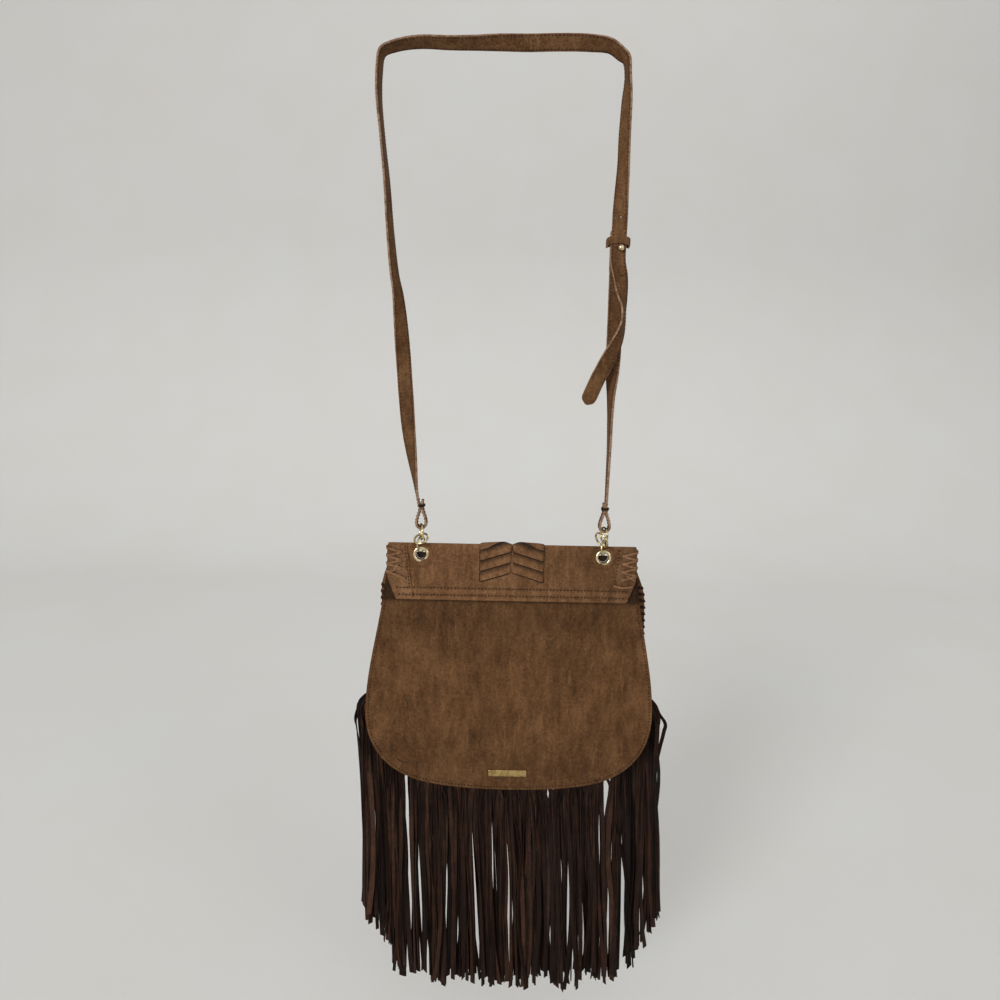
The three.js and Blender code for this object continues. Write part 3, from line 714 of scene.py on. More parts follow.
def bell_edge(top: float, wide: float, wide_at: float, height: float) -> np.ndarray:
    """Right-hand edge of a bell-shaped panel.

    Args:
        top: Half-width at the top.
        wide: Greatest half-width.
        wide_at: Drop of the greatest half-width.
        height: Drop of the foot.

    Returns:
        Points (x, drop) from the top to the middle of the foot.
    """
    low = height - wide_at
    knee = (0.625 * wide, wide_at + 0.895 * low)
    runs = (
        ((top, 0), (top - 1, 0.347 * wide_at), (wide, 0.684 * wide_at), (wide, wide_at)),
        ((wide, wide_at), (wide, wide_at + 0.488 * low), (0.842 * wide, wide_at + 0.779 * low), knee),
        (knee, (0.447 * wide, wide_at + 0.977 * low), (0.23 * wide, height), (0, height)),
    )
    t = np.linspace(0, 1, 33)[:, None]
    parts = []
    for a, b, c, d in (np.array(run, dtype=float) for run in runs):
        parts.append((1 - t) ** 3 * a + 3 * t * (1 - t) ** 2 * b + 3 * t * t * (1 - t) * c + t**3 * d)
    return np.vstack([parts[0], parts[1][1:], parts[2][1:]])


def spaced(points: np.ndarray, pitch: float) -> np.ndarray:
    """A line's points set out again at an even pitch.

    Args:
        points: The line, one row to a point; what follows its coordinates goes along with it.
        pitch: The distance wanted.

    Returns:
        The new points.
    """
    run = distances(points[:, :3])
    places = np.linspace(0, run[-1], max(2, round(run[-1] / pitch) + 1))
    return np.stack([np.interp(places, run, points[:, i]) for i in range(points.shape[1])], axis=1)


class Curve:
    """A smooth line through points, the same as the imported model's straps follow."""

    def __init__(self, points: Sequence[Sequence[float]]) -> None:
        """Keeps the points, with one more before the first and after the last.

        Args:
            points: What the line goes through.
        """
        inner = np.array(points, dtype=float)
        self.points = np.vstack([2 * inner[0] - inner[1], inner, 2 * inner[-1] - inner[-2]])
        self.spans = len(inner) - 1

    def at(self, share: float) -> np.ndarray:
        """The point at a share of the way, counted in spans.

        Args:
            share: The share, from 0 to 1.

        Returns:
            The point.
        """
        place = min(max(share, 0), 1) * self.spans
        span = min(int(place), self.spans - 1)
        w = place - span
        a, b, c, d = self.points[span : span + 4]
        t0, t1, t2 = (float(np.sum((q - p) ** 2)) ** 0.25 for p, q in ((a, b), (b, c), (c, d)))
        start = ((b - a) / t0 - (c - a) / (t0 + t1) + (c - b) / t1) * t1
        end = ((c - b) / t1 - (d - b) / (t1 + t2) + (d - c) / t2) * t1
        return (
            b
            + start * w
            + (-3 * b + 3 * c - 2 * start - end) * w * w
            + (2 * b - 2 * c + start + end) * w**3
        )

    def line(self, steps: int) -> np.ndarray:
        """Points at even shares of the way."""
        return np.array([self.at(i / steps) for i in range(steps + 1)])


@dataclass
class Ribbon:
    """A flat band: its middle line, the way across it, and the way out of its face."""

    centres: np.ndarray
    across: np.ndarray
    out: np.ndarray
    widths: np.ndarray
    thickness: float

    @classmethod
    def turned(
        cls, centres: np.ndarray, turns: np.ndarray, widths: np.ndarray, thickness: float
    ) -> "Ribbon":
        """A ribbon by the turn of its face.

        Args:
            centres: Its middle line.
            turns: Degrees at each point: 0 where the face looks to -Y, 90 where the edge does.
            widths: Its width at each point.
            thickness: Its thickness.

        Returns:
            The ribbon.
        """
        along = unit(np.gradient(centres, axis=0))
        side = unit(np.cross(along, BACKWARDS))
        angle = np.radians(turns)[:, None]
        across = side * np.cos(angle) + BACKWARDS * np.sin(angle)
        across = unit(across - along * np.sum(across * along, axis=1, keepdims=True))
        return cls(centres, across, unit(np.cross(along, across)), widths, thickness)

    @classmethod
    def laid(cls, centres: np.ndarray, out: np.ndarray, width: float, thickness: float) -> "Ribbon":
        """A ribbon of one width that lies on a surface whose outward way is given.

        Args:
            centres: Its middle line.
            out: The way out of the surface, for all points or at each.
            width: Its width.
            thickness: Its thickness.

        Returns:
            The ribbon.
        """
        along = unit(np.gradient(centres, axis=0))
        across = unit(np.cross(along, out))
        return cls(centres, across, unit(np.cross(across, along)), np.full(len(centres), width), thickness)

    def offset(self, across: np.ndarray | float, out: float) -> np.ndarray:
        """Points at a distance across and out of the middle line."""
        sideways = np.broadcast_to(across, (len(self.centres),))[:, None]
        return self.centres + self.across * sideways + self.out * out

    def sections(self, profile: Sequence[tuple[float, float]]) -> np.ndarray:
        """Rings of points for a profile in half-widths and half-thicknesses.

        Args:
            profile: Corners, in half-widths and half-thicknesses.

        Returns:
            One ring for each point of the middle line.
        """
        half = self.widths[:, None] / 2
        rings = [
            self.centres + self.across * half * a + self.out * (b * self.thickness / 2) for a, b in profile
        ]
        return np.stack(rings, axis=1)


FLAT_PROFILE = ((-1, -0.6), (-0.9, -1), (0.9, -1), (1, -0.6), (1, 0.6), (0.9, 1), (-0.9, 1), (-1, 0.6))
STRAP_PROFILE = (
    (-0.93, -0.93), (-0.6, -1), (0.6, -1), (0.93, -0.93), (0.99, -0.5), (0.99, 0.5),
    (0.93, 0.93), (0.6, 1), (-0.6, 1), (-0.93, 0.93), (-0.99, 0.5), (-0.99, -0.5),
)
STRAP_SLOTS = (0, 0, 0, 1, 1, 1, 0, 0, 0, 1, 1, 1)
LACE_SLOTS = (1, 0, 1, 1, 1, 0, 1, 1)
STRIP_PROFILE = ((-1, -1), (1, -1), (1, 1), (-1, 1))


def add_object(name: str, data: bpy.types.ID) -> bpy.types.Object:
    """A new object in the scene, for a mesh, a lamp or a camera."""
    obj = bpy.data.objects.new(name, data)
    bpy.context.scene.collection.objects.link(obj)
    return obj


class Shape:
    """Points and faces, in millimetres, that become one mesh object."""

    def __init__(self) -> None:
        """Starts with nothing in it."""
        self.points: list[np.ndarray] = []
        self.tones: list[np.ndarray] = []
        self.faces: list[list[int]] = []
        self.slots: list[int] = []
        self.count = 0

    def _take(self, points: np.ndarray, tones: np.ndarray | float) -> np.ndarray:
        """Adds points and gives their numbers in the same layout.

        Args:
            points: The points, in any layout.
            tones: Their tints.

        Returns:
            The numbers.
        """
        flat = points.reshape(-1, 3)
        numbers = self.count + np.arange(len(flat))
        self.points.append(flat)
        self.tones.append(np.broadcast_to(tones, points.shape[:-1]).reshape(-1))
        self.count += len(flat)
        return numbers.reshape(points.shape[:-1])

    def _add(self, faces: np.ndarray, slot: int | np.ndarray) -> None:
        """Adds four-cornered faces.

        Args:
            faces: Four numbers to a face.
            slot: The material of all, or of each.
        """
        flat = faces.reshape(-1, 4)
        self.faces.extend(flat.tolist())
        self.slots.extend(np.broadcast_to(slot, faces.shape[:-1]).reshape(-1).tolist())

    def bars(
        self,
        sections: np.ndarray,
        slots: Sequence[int] = (0,),
        tones: np.ndarray | None = None,
        ring: bool = False,
    ) -> "Shape":
        """Adds bars through rings of points.

        Args:
            sections: Bars, rings, corners and coordinates, or one bar without the first.
            slots: The material of each side of the bar.
            tones: A tint for each bar.
            ring: Whether each bar closes on itself.

        Returns:
            This shape.
        """
        if sections.ndim == 3:
            sections = sections[None]
        shades = np.ones(len(sections)) if tones is None else tones
        numbers = self._take(sections, shades[:, None, None])
        if ring:
            numbers = np.concatenate([numbers, numbers[:, :1]], axis=1)
        here, there = numbers[:, :-1], numbers[:, 1:]
        quads = np.stack([here, np.roll(here, -1, 2), np.roll(there, -1, 2), there], axis=-1)
        self._add(quads, np.resize(slots, here.shape[2]))
        if not ring:
            for bar in numbers:
                self.faces.append(bar[0, ::-1].tolist())
                self.faces.append(bar[-1].tolist())
                self.slots.extend([slots[0]] * 2)
        return self

    def sheet(
        self, near: np.ndarray, far: np.ndarray, tones: np.ndarray | float = 1.0, edges: int = 1
    ) -> "Shape":
        """Adds a closed sheet between two grids of points.

        Args:
            near: Rows, columns and coordinates of one face.
            far: The same for the other face.
            tones: A tint for each point, or one for all.
            edges: The material of the cut edges.

        Returns:
            This shape.
        """
        a = self._take(near, tones)
        b = self._take(far, tones)
        self._add(np.stack([a[:-1, :-1], a[1:, :-1], a[1:, 1:], a[:-1, 1:]], -1), 0)
        self._add(np.stack([b[:-1, :-1], b[:-1, 1:], b[1:, 1:], b[1:, :-1]], -1), 0)
        rim_a, rim_b = (
            np.concatenate([g[0, :-1], g[:-1, -1], g[-1, :0:-1], g[:0:-1, 0]]) for g in (a, b)
        )
        self._add(np.stack([rim_a, np.roll(rim_a, -1), np.roll(rim_b, -1), rim_b], -1), edges)
        return self

    def turned(
        self, profile: Sequence[tuple[float, float]], centre: Sequence[float], sides: int
    ) -> "Shape":
        """Adds a body turned about Y.

        Args:
            profile: Radius and y of each ring, as a closed loop.
            centre: The x and z of its axis.
            sides: How many faces go round.

        Returns:
            This shape.
        """
        angles = np.linspace(0, 2 * math.pi, sides, endpoint=False)
        rings = [
            [(centre[0] + r * math.cos(a), y, centre[1] + r * math.sin(a)) for r, y in profile]
            for a in angles
        ]
        return self.bars(np.array(rings), ring=True)

    def stitches(self, line: np.ndarray, out: np.ndarray, radius: float = 0.56) -> "Shape":
        """Adds a row of stitches, one between each point of a line and the next.

        Args:
            line: Points on the surface.
            out: The way out of the surface at each point.
            radius: Half the thread's thickness.

        Returns:
            This shape.
        """
        start, step = line[:-1], np.diff(line, axis=0)
        away = unit(np.broadcast_to(out, line.shape)[:-1])
        side = unit(np.cross(step, away))
        shares = np.array([0.26, 0.34, 0.5, 0.66, 0.74])
        lifts = np.array([-0.3, 0.02, 0.14, 0.02, -0.3])
        sizes = radius * np.array([0.7, 1, 1.1, 1, 0.7])
        middle = start[:, None] + step[:, None] * shares[:, None] + away[:, None] * lifts[:, None]
        angles = np.radians(np.arange(0, 360, 60))
        round_side = side[:, None, None] * np.cos(angles)[:, None]
        round_away = away[:, None, None] * np.sin(angles)[:, None]
        sections = middle[:, :, None] + (round_side + round_away) * sizes[:, None, None]
        return self.bars(sections)

    def build(self, name: str, finishes: Sequence[bpy.types.Material]) -> bpy.types.Object:
        """Turns the shape into an object.

        Args:
            name: The object's name.
            finishes: Its materials.

        Returns:
            The object.
        """
        mesh = bpy.data.meshes.new(name)
        mesh.from_pydata((np.vstack(self.points) * MM).tolist(), [], self.faces)
        for finish in finishes:
            mesh.materials.append(finish)
        mesh.polygons.foreach_set("material_index", self.slots)
        mesh.polygons.foreach_set("use_smooth", [True] * len(self.faces))
        # The tone attribute holds each piece's tint, with its painted light and shade.
        tone = mesh.color_attributes.new("tone", "FLOAT_COLOR", "POINT")
        shade = np.concatenate(self.tones)
        tone.data.foreach_set("color", np.stack([shade, shade, shade, np.ones_like(shade)], 1).ravel())
        self._tidy(mesh)
        return add_object(name, mesh)

    @staticmethod
    def _tidy(mesh: bpy.types.Mesh) -> None:
        """Turns the faces outwards and marks the sharp edges.

        Args:
            mesh: The mesh that is changed.
        """
        work = bmesh.new()
        work.from_mesh(mesh)
        bmesh.ops.recalc_face_normals(work, faces=work.faces)
        for edge in work.edges:
            if len(edge.link_faces) == 2 and edge.calc_face_angle(0) > SHARP_ANGLE:
                edge.smooth = False
        work.to_mesh(mesh)
        work.free()


def torus(centre: Sequence[float], axis: np.ndarray, radius: float, wire: float) -> np.ndarray:
    """Rings of points for a closed round wire.

    Args:
        centre: Its middle.
        axis: The way that its hole looks.
        radius: From its middle to the middle of the wire.
        wire: Half the wire's thickness.

    Returns:
        The rings, corners and coordinates.
    """
    first = unit(np.cross(axis, (0.31, 0.52, 0.8)))
    second = np.cross(axis, first)
    around = np.linspace(0, 2 * math.pi, 64, endpoint=False)[:, None]
    outward = first * np.cos(around) + second * np.sin(around)
    turn = np.linspace(0, 2 * math.pi, 14, endpoint=False)
    ring = np.array(centre) + outward * radius
    small = outward[:, None] * np.cos(turn)[:, None] + axis * np.sin(turn)[:, None]
    return ring[:, None] + small * wire


def rod(
    start: Sequence[float], end: Sequence[float], radius: float, wall: bpy.types.Material
) -> bpy.types.Object:
    """A round tool for cutting a hole.

    Args:
        start: One end.
        end: The other end.
        radius: Its radius.
        wall: The material that the hole's wall takes; a dark one stands in for painted shade in the hole.

    Returns:
        The tool.
    """
    ends = np.array([start, end], dtype=float)
    axis = unit(ends[1] - ends[0])
    first = unit(np.cross(axis, (0.3, 0.5, 0.8)))
    second = np.cross(axis, first)
    turn = np.linspace(0, 2 * math.pi, 28, endpoint=False)[:, None]
    circle = (first * np.cos(turn) + second * np.sin(turn)) * radius
    return Shape().bars(ends[:, None] + circle).build("hole_tool", [wall])


def pierce(obj: bpy.types.Object, tools: Sequence[bpy.types.Object]) -> None:
    """Cuts the tools out of an object and removes them.

    Args:
        obj: What is cut.
        tools: The bodies that are taken out of it.
    """
    for tool in tools:
        cut = obj.modifiers.new("hole", "BOOLEAN")
        cut.object = tool
        cut.operation = "DIFFERENCE"
        cut.solver = "EXACT"
        cut.material_mode = "TRANSFER"
    seen = bpy.context.evaluated_depsgraph_get()
    mesh = bpy.data.meshes.new_from_object(obj.evaluated_get(seen))
    obj.modifiers.clear()
    obj.data = mesh
    for tool in tools:
        bpy.data.objects.remove(tool)


def place(obj: bpy.types.Object, body: Body, slot: Slot, nodes: Sequence[str] = ()) -> bpy.types.Object:
    """Puts a piece on its body, in place of the nodes that it stands for.

    Args:
        obj: The piece.
        body: The body that it moves with.
        slot: The material slot of the record; not used.
        nodes: The CAD nodes that it replaces.

    Returns:
        The piece.
    """
    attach(obj, body.value)
    if nodes:
        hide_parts(*nodes)
    LOG.info("%s: %d faces on %s", obj.name, len(obj.data.polygons), body.value)
    return obj


class Finishes:
    """Every material of the bag, made once."""

    def __init__(self, plan: Plan) -> None:
        """Makes them; the band's suede is pressed round the eyelets, with painted shade in the pressed
        rings.

        Args:
            plan: The sizes.
        """
        presses = tuple((s.value * plan.eyelet_x, 0.0, plan.eyelet_z) for s in Side)
        self.suede = Suede("panel_suede", (66, 43, 22), (98, 67, 40), (122, 88, 57)).material()
        self.band = Suede(
            "band_suede", (80, 53, 31), (114, 80, 51), (142, 106, 74), dents=presses
        ).material()
        self.patch = Suede("patch_suede", (80, 53, 32), (114, 81, 53), (142, 107, 76)).material()
        # The lacing is lighter than the patches it crosses: a painted highlight on the raised lace.
        self.lace = Suede("lace_suede", (98, 69, 46), (132, 97, 68), (156, 121, 90), nap_mm=0.2).material()
        self.flap_lace = Suede("flap_lace_suede", (34, 21, 13), (52, 34, 22), (76, 52, 36)).material()
        self.strap = Suede(
            "strap_suede", (72, 47, 27), (100, 70, 44), (126, 93, 63),
            blotch=34, nap_mm=0.18, roughness=0.74, specular=0.1,
        ).material()
        self.fringe = Suede(
            "fringe_suede", (29, 16, 10), (43, 26, 17), (60, 37, 25), blotch=60, nap_mm=0.2, roughness=0.7
        ).material()
        self.edge = EdgePaint().material()
        # Dark cut edges; on the laces and the woven strips they also stand in as painted shade along the
        # edges.
        self.dark_edge = EdgePaint("dark_edge", (52, 33, 21), (34, 21, 13)).material()
        self.thread = Thread().material()
        self.brass = Brass().material()
        self.plate_brass = Brass("plate_brass", (190, 162, 108), (160, 132, 84), 0.26).material()
        self.ring_brass = Brass("ring_brass", (222, 206, 162), (142, 122, 80), 0.14).material()


@dataclass
class Bag:
    """Back panel, front panel, gusset, blank plate and magnetic closure."""

    plan: Plan
    finishes: Finishes
    columns: int = 44
    seam_inset: float = 3.1
    lip_shade: float = 0.55
    foot_shade: float = 0.14
    neck_shade: float = 0.2
    hem_half: float = 122
    gusset_step: float = 6
    gusset_tuck: float = 5
    crease_width: float = 0.9
    crease_depth: float = 0.3
    plate_drop: float = 257
    plate_half_x: float = 21
    plate_half_z: float = 3.75
    plate_corner: float = 1.4

    CREASES = (
        ((97, 262), (100, 267), (101, 272)),
        ((103, 260), (100, 266)),
        ((-122, 243), (-114, 247), (-108, 246)),
    )
    PLATE_EDGE = ((0.3, 0), (0, 0.3), (0, 0.8), (0.25, 1.1), (0.7, 1.2))

    def panel(
        self,
        drops: np.ndarray,
        half: Callable,
        near: Callable,
        far: Callable,
        aside: Callable = np.zeros_like,
        tone: Callable = np.ones_like,
    ) -> Shape:
        """A bell-shaped sheet.

        Args:
            drops: Its rows.
            half: Half-width at a drop.
            near: The y of one face at x and drop.
            far: The y of the other face.
            aside: How far its middle stands to the right at a drop.
            tone: The tint at a drop.

        Returns:
            The shape.
        """
        across = np.linspace(-1, 1, self.columns + 1)
        x = half(drops)[:, None] * across + aside(drops)[:, None]
        drop = np.broadcast_to(drops[:, None], x.shape)
        z = self.plan.ridge_z - drop
        grids = [np.stack([x, np.broadcast_to(face(x, drop), x.shape), z], -1) for face in (near, far)]
        return Shape().sheet(*grids, tones=tone(drop))

    def painted_shade_on_back(self, drop: np.ndarray) -> np.ndarray:
        """The painted shade of the back panel.

        Args:
            drop: Drops below the ridge.

        Returns:
            Dark as a painted shadow where the band's lip lies on it, a little darker again as painted shade
            below the band, and darker towards the foot.
        """
        lip = self.lip_shade * ease((self.plan.band_drop + 4.5 - drop) / 4)
        foot = self.foot_shade * ease((drop - 190) / 70)
        return 1 - lip - foot - self.neck_shade * ease((150 - drop) / 80)

    def rows(self, start: float, end: float, count: int) -> np.ndarray:
        """Drops from start to end, closer together towards the foot."""
        return start + (end - start) * np.sin(np.linspace(0, math.pi / 2, count + 1))

    def build_back(self) -> None:
        """The back panel, with its row of stitches, and dark lines near the foot as painted shade in its
        creases.
        """
        plan = self.plan
        lift = plan.back_lift
        shape = self.panel(
            self.rows(plan.band_outer, plan.bag_height, 110),
            plan.body_half,
            lambda x, d: -plan.panel_face - lift(x, d),
            lambda x, d: plan.panel_face - lift(x, d),
            tone=self.painted_shade_on_back,
        )
        back = shape.build("back_leather", [self.finishes.suede, self.finishes.edge])
        pierce(back, eyelet_tools(plan, self.finishes.thread))
        place(back, Body.BAG, Slot.SUEDE, ["back_panel"])
        rim = spaced(plan.rim(plan.band_drop + 2, self.seam_inset), plan.stitch_pitch)
        y = -plan.panel_face - lift(rim[:, 0], rim[:, 1])
        line = np.stack([rim[:, 0], y, plan.ridge_z - rim[:, 1]], 1)
        seam = Shape().stitches(line, BACKWARDS).build("back_seam", [self.finishes.thread])
        place(seam, Body.BAG, Slot.SUEDE)
        # Painted shade: thin dark ribbons along the creases.
        crease_shadows = Shape()
        for run in self.CREASES:
            flat = Curve([(x, 0, -drop) for x, drop in run]).line(8)
            y = -plan.panel_face - lift(flat[:, 0], -flat[:, 2]) - 0.05
            line = np.stack([flat[:, 0], y, plan.ridge_z + flat[:, 2]], 1)
            ribbon = Ribbon.laid(line, BACKWARDS, self.crease_width, self.crease_depth)
            crease_shadows.bars(ribbon.sections(FLAT_PROFILE))
        place(crease_shadows.build("back_creases", [self.finishes.thread]), Body.BAG, Slot.SUEDE)

    def build_front(self) -> None:
        """The front panel, with its mouth edge and stitches."""
        plan = self.plan
        shape = self.panel(
            self.rows(plan.mouth_drop, plan.bag_height, 48),
            plan.body_half,
            lambda x, d: plan.front_inner(d),
            lambda x, d: plan.front_outer(d),
        )
        front = shape.build("front_leather", [self.finishes.suede, self.finishes.edge])
        place(front, Body.BAG, Slot.SUEDE, ["front_panel"])
        rim = spaced(plan.rim(plan.mouth_drop + 3, self.seam_inset), plan.stitch_pitch)
        hem_x = np.arange(-self.hem_half, self.hem_half, plan.stitch_pitch)
        hem = np.stack([hem_x, np.full_like(hem_x, plan.mouth_drop + 4)], 1)
        seam = Shape()
        for run in (rim, hem):
            line = np.stack([run[:, 0], plan.front_outer(run[:, 1]), plan.ridge_z - run[:, 1]], 1)
            seam.stitches(line, -BACKWARDS)
        place(seam.build("front_seam", [self.finishes.thread]), Body.BAG, Slot.SUEDE)

    def build_gusset(self) -> None:
        """The strip between the two panels, which folds in a little along its middle."""
        plan = self.plan
        start = plan.mouth_drop - plan.gusset_rise
        shape = Shape()
        across = np.linspace(0, 1, 9)
        grids = []
        for inset in (plan.seam_inset, plan.seam_inset + plan.gusset):
            rim = spaced(plan.rim(start, inset), self.gusset_step)
            inner = spaced(plan.rim(start, inset + self.gusset_tuck), self.gusset_step)
            inner = picked(inner, len(rim))
            back = plan.panel_face + plan.clearance
            front = plan.header_inner(rim[:, 1]) - plan.clearance
            fold = (np.sin(across * math.pi) ** 2)[None] * ease((front - back) / 25)[:, None] * 0.5
            flat = rim[:, None] * (1 - fold[..., None]) + inner[:, None] * fold[..., None]
            y = back + (front - back)[:, None] * across
            grids.append(np.stack([flat[..., 0], y, plan.ridge_z - flat[..., 1]], -1))
        count = min(len(g) for g in grids)
        shape.sheet(*(picked(g, count) for g in grids))
        gusset = shape.build("gusset_leather", [self.finishes.suede, self.finishes.edge])
        place(gusset, Body.BAG, Slot.SUEDE, ["gusset"])

    def build_plate(self) -> None:
        """The blank plate low on the back, with rounded corners and a soft edge."""
        plan = self.plan
        lift = float(plan.back_lift(0.0, self.plate_drop))
        foot = plan.panel_face + lift + 0.15
        middle = plan.ridge_z - self.plate_drop
        rings = []
        for inset, rise in self.PLATE_EDGE:
            outline = rounded(self.plate_half_x, self.plate_half_z, self.plate_corner, 6, inset)
            rings.append([(x, -foot - rise, middle + z) for x, z in outline])
        plate = Shape().bars(np.array(rings)).build("blank_plate", [self.finishes.plate_brass])
        place(plate, Body.BAG, Slot.BRASS, ["name_bar"])

    def build_closure(self, nodes: Mapping[str, bpy.types.Object]) -> None:
        """Gives the two halves of the closure their metal.

        Args:
            nodes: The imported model's nodes.
        """
        for name in ("snap_body", "snap_flap"):
            mesh = nodes[name]
            for holder in mesh.material_slots:
                holder.material = self.finishes.brass
            LOG.info("%s keeps its node and takes the metal", name)


def eyelet_tools(plan: Plan, wall: bpy.types.Material) -> list[bpy.types.Object]:
    """Tools for the two holes that the eyelets pass through.

    Args:
        plan: The sizes.
        wall: The material of the holes' walls; a dark one stands in for painted shade in the holes.

    Returns:
        One tool for each side.
    """
    radius = plan.eyelet_hole + plan.eyelet_wall + 0.15
    places = [s.value * plan.eyelet_x for s in Side]
    return [rod((x, -12, plan.eyelet_z), (x, 12, plan.eyelet_z), radius, wall) for x in places]


@dataclass
class Band:
    """The band over the ridge, with its patches, lacing, woven strips and eyelets."""

    plan: Plan
    finishes: Finishes
    patch: float = 0.9
    strip_half: float = 34
    strip_rows: int = 4
    strip_pitch: float = 11.35
    strip_height: float = 10.9
    strip_rise: float = 10.5
    first_drop: float = 5.5
    strip_lift: float = 0.5
    strip_lean: float = 1.9
    patch_width: float = 20.5
    patch_slant: float = 6.5
    patch_drop: float = 59
    lace_teeth: int = 4
    lace_pitch: float = 8.6
    lace_top: float = 5.0
    lace_width: float = 2.7
    lip_round: float = 0.25
    lip_rise: float = 0.85
    far_lip: float = 0.42

    RIDGES = ((51.8, 2.2, 1.0), (59.2, 1.6, 0.8))
    # Painted highlights on the seam's ridges and painted shade along its rows of stitches: drop, reach and
    # strength of each.
    PAINTED_SEAM_HIGHLIGHTS = ((51.8, 2.2, 0.2), (59.4, 1.5, 0.22))
    PAINTED_STITCH_SHADE = ((47.6, 1.3, 0.16), (55.8, 1.3, 0.16))
    SEAM_DROPS = (48.0, 55.5)
    LACE_ENDS = {
        Side.LEFT: (
            ((-113, 0.5, 37.5), (-120, 1.3, 35), (-127, 1.3, 32), (-132.5, 0.7, 29)),
            ((-121, 0.6, 23), (-123, 1.2, 26), (-126, 0.9, 30)),
        ),
        Side.RIGHT: (
            ((108, 0.5, 41.5), (115, 1.2, 43), (121, 1.2, 43), (128, 0.6, 42)),
            ((121, 0.5, 30), (126, 1.2, 33), (131, 0.7, 35.5)),
        ),
    }

    def relief(self, x: np.ndarray | float, drop: np.ndarray | float) -> np.ndarray:
        """How far the band stands out of its plain face.

        Args:
            x: Places across.
            drop: Drops below the ridge.

        Returns:
            The padded seam along its foot, and a soft fold that runs out from the woven strips.
        """
        seam = sum(height * hump(drop, middle, reach) for middle, reach, height in self.RIDGES)
        out = np.abs(x)
        slanted = hump(drop - 4 - 0.3 * (out - self.strip_half), 0, 4.5)
        fold = slanted * ease((out - 36) / 20) * ease((110 - out) / 20)
        swell = ease(drop / 12) * ease((46 - drop) / 12) * (1 + np.sin(0.07 * x + 0.8))
        return seam + np.where(x < 0, 1.0, 0.5) * fold + 0.35 * swell

    def shading(self, x: np.ndarray, drop: np.ndarray) -> np.ndarray:
        """The tint of the band: painted light and shade.

        Args:
            x: Places across.
            drop: Drops below the ridge.

        Returns:
            Painted highlights on the padded seam's ridges and along the ridge's top, painted shade along
            both rows of stitches, and painted shade that grows to the right.
        """
        rubbed_and_painted_highlight = sum(height * hump(drop, middle, reach) for middle, reach, height in self.PAINTED_SEAM_HIGHLIGHTS)
        painted_groove_shade = sum(height * hump(drop, middle, reach) for middle, reach, height in self.PAINTED_STITCH_SHADE)
        # Painted shade that grows towards the right.
        painted_shade_right = 0.97 - 0.18 * ease((x + 30) / 130)
        return (1 + rubbed_and_painted_highlight - painted_groove_shade + 0.08 * ease((8 - drop) / 8)) * painted_shade_right

    def patch_inner(self, drop: np.ndarray | float) -> np.ndarray:
        """The x of a patch's inner edge at a drop."""
        slant = self.patch_slant * drop / self.patch_drop
        return self.plan.ridge_half - self.patch_width - slant

    def surface(self, x: np.ndarray, drop: np.ndarray) -> np.ndarray:
        """The y of the back's outermost leather at a place on the band."""
        patched = np.abs(x) > self.patch_inner(drop)
        raised = np.where(patched, self.patch + self.plan.clearance, 0)
        return -(self.plan.band_outer + self.relief(x, drop) + raised)

    def build_band(self) -> None:
        """The band itself, sewn twice along its lower edge."""
        plan = self.plan
        back = np.linspace(plan.band_drop, plan.band_outer, 70)
        spring = plan.band_outer
        arc = spring - spring * np.linspace(0, math.pi, 13)[1:]
        front = arc[-1] - np.linspace(0, plan.hinge_drop - spring, 6)[1:]
        runs = np.concatenate([back, arc, front])
        half = plan.band_half(np.maximum(runs, 0))
        across = np.linspace(-1, 1, 61)
        x = half[:, None] * across
        run = np.broadcast_to(runs[:, None], x.shape)
        outer = plan.over_ridge(x, run, 0.0)
        inner = plan.over_ridge(x, run, -plan.band)
        for grid in (outer, inner):
            grid[..., 1] -= self.relief(x, run)
        shape = Shape().sheet(outer, inner, self.shading(x, run))
        band = shape.build("band_leather", [self.finishes.band, self.finishes.edge])
        pierce(band, eyelet_tools(plan, self.finishes.thread))
        place(band, Body.BAG, Slot.BAND, ["flap_band"])
        seams = Shape()
        for drop in self.SEAM_DROPS:
            reach = float(plan.band_half(drop)) - 4
            x = np.linspace(-reach, reach, round(2 * reach / plan.stitch_pitch))
            level = np.full_like(x, drop)
            seams.stitches(np.stack([x, self.surface(x, level), plan.ridge_z - level], 1), BACKWARDS)
        place(seams.build("band_seams", [self.finishes.thread]), Body.BAG, Slot.BAND)

    def build_patch(self, side: Side) -> None:
        """The patch over one end of the band, sewn along its inner edge.

        Args:
            side: Left or right.
        """
        plan = self.plan
        drops = np.linspace(2, self.patch_drop, 46)
        inner, outer = self.patch_inner(drops), plan.band_half(drops)
        share = np.linspace(0, 1, 9)
        x = inner[:, None] + (outer - inner)[:, None] * share
        run = np.broadcast_to(drops[:, None], x.shape)
        grids = []
        for lift in (plan.clearance + self.patch, plan.clearance):
            grid = plan.over_ridge(side.value * x, run, lift)
            grid[..., 1] -= self.relief(side.value * x, run)
            grids.append(grid)
        shape = Shape().sheet(*grids, tones=self.shading(side.value * x, run))
        patch = shape.build(f"patch_{side.word}", [self.finishes.patch, self.finishes.dark_edge])
        place(patch, Body.BAG, Slot.BAND, [f"corner_patch_{side.word}"])
        line = spaced(np.stack([self.patch_inner(drops) + 2.0, drops], 1)[:38], plan.stitch_pitch)
        raised = self.relief(side.value * line[:, 0], line[:, 1])
        y = -(plan.band_outer + plan.clearance + self.patch + raised)
        points = np.stack([side.value * line[:, 0], y, plan.ridge_z - line[:, 1]], 1)
        seam = Shape().stitches(points, BACKWARDS).build(f"patch_seam_{side.word}", [self.finishes.thread])
        place(seam, Body.BAG, Slot.BAND)

